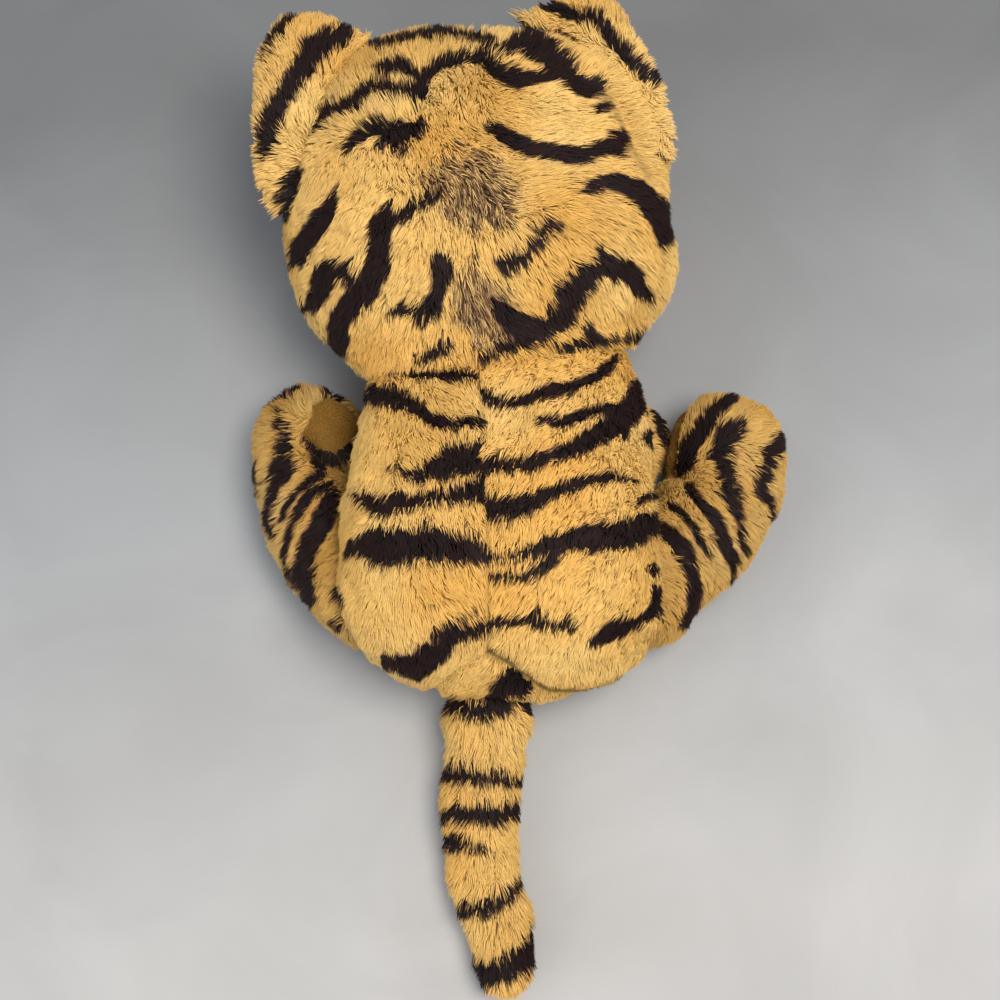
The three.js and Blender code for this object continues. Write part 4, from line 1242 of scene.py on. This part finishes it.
# Further away it turns pale
FAR_RANGE = (0.6, 2.5)
FAR_TONE = (0.9, 0.9, 0.9, 1)


def ranged(tree, value, low, high):
    """A value of a material, turned from low and high into 0 and 1."""
    return add_part(tree, "MapRange", {"Value": value, "From Min": low, "From Max": high}).outputs["Result"]


def ramp(tree, value, stops):
    """A colour for a value, from stops that begin at 0 and end at 1."""
    made = add_part(tree, "ValToRGB", {"Fac": value})
    elements = made.color_ramp.elements
    elements[0].color = (*stops[0][1], 1)
    elements[1].color = (*stops[-1][1], 1)
    for at, colour in stops[1:-1]:
        elements.new(at).color = (*colour, 1)
    return made.outputs["Color"]


def blended(tree, kind, share, first, second):
    """Two colours of a material, blended."""
    values = {"Factor": share, "A": first, "B": second}
    return add_part(tree, "Mix", values, data_type="RGBA", blend_type=kind).outputs["Result"]


def sheet_material():
    """Woven cotton with soft wrinkles, with painted shade in their hollows and beyond the head."""
    made, tree, shader = new_material("sheet")
    place = add_part(tree, "TexCoord", {}).outputs["Object"]
    wrinkle = add_part(tree, "TexNoise", {"Vector": place, "Scale": 9, "Detail": 5, "Distortion": 0.8})
    wrinkle = wrinkle.outputs["Fac"]
    slope = add_part(tree, "Mapping", {"Vector": place, "Rotation": (0, 0, SHADE_TURN)})
    split = add_part(tree, "SeparateXYZ", {"Vector": slope.outputs["Vector"]})
    shade = ramp(tree, ranged(tree, split.outputs["Y"], *SHADE_RANGE), SHADES)
    shaded = blended(tree, "MULTIPLY", 1, ramp(tree, wrinkle, WRINKLE_SHADES), shade)
    far = add_part(tree, "VectorMath", {"Vector": place}, operation="LENGTH").outputs["Value"]
    paler = blended(tree, "MIX", ranged(tree, far, *FAR_RANGE), shaded, FAR_TONE)
    bump = add_part(tree, "Bump", {"Strength": 0.35, "Distance": 10 * MM, "Height": wrinkle})
    set_inputs(tree, shader, {"Base Color": paler, "Roughness": 0.9, "Normal": bump.outputs["Normal"]})
    return made


def sheet():
    """The flat sheet, as a stage."""
    shape = bmesh.new()
    bmesh.ops.create_grid(shape, x_segments=4, y_segments=4, size=30)
    mesh = mesh_of("sheet", shape)
    mesh.materials.append(sheet_material())
    linked("sheet", mesh)


sheet()


# Light
world = bpy.data.worlds.new("room")
bpy.context.scene.world = world
world.use_nodes = True
sky = world.node_tree.nodes["Background"]
set_inputs(world.node_tree, sky, {"Color": (0.86, 0.92, 1, 1), "Strength": 0.47})


def area_light(name, place, aim, size, power, colour):
    """A square lamp at a place, turned to another."""
    data = bpy.data.lights.new(name, "AREA")
    data.size = size
    data.energy = power
    data.color = colour
    made = linked(name, data)
    made.location = place
    made.rotation_euler = (Vector(aim) - Vector(place)).to_track_quat("-Z", "Y").to_euler()


CEILING_PLACE = (0.28, -0.04, 1.13)
WINDOW_PLACE = (-0.9, -0.5, 0.7)
area_light("ceiling_light", CEILING_PLACE, aim=(0, 0.05, 0), size=0.5, power=12.3, colour=(1, 0.95, 0.88))
area_light("window_light", WINDOW_PLACE, aim=(0, 0.05, 0.03), size=0.8, power=4.6, colour=(0.94, 0.97, 1))

# Camera
camera_data = bpy.data.cameras.new("camera")
camera_data.angle = VIEW_ANGLE
camera = linked("camera", camera_data)
camera.location = CAMERA_PLACE
camera.rotation_euler = (math.pi / 2 - CAMERA_ELEVATION, 0, 0)
bpy.context.scene.camera = camera
bpy.context.scene.view_settings.view_transform = "Standard"
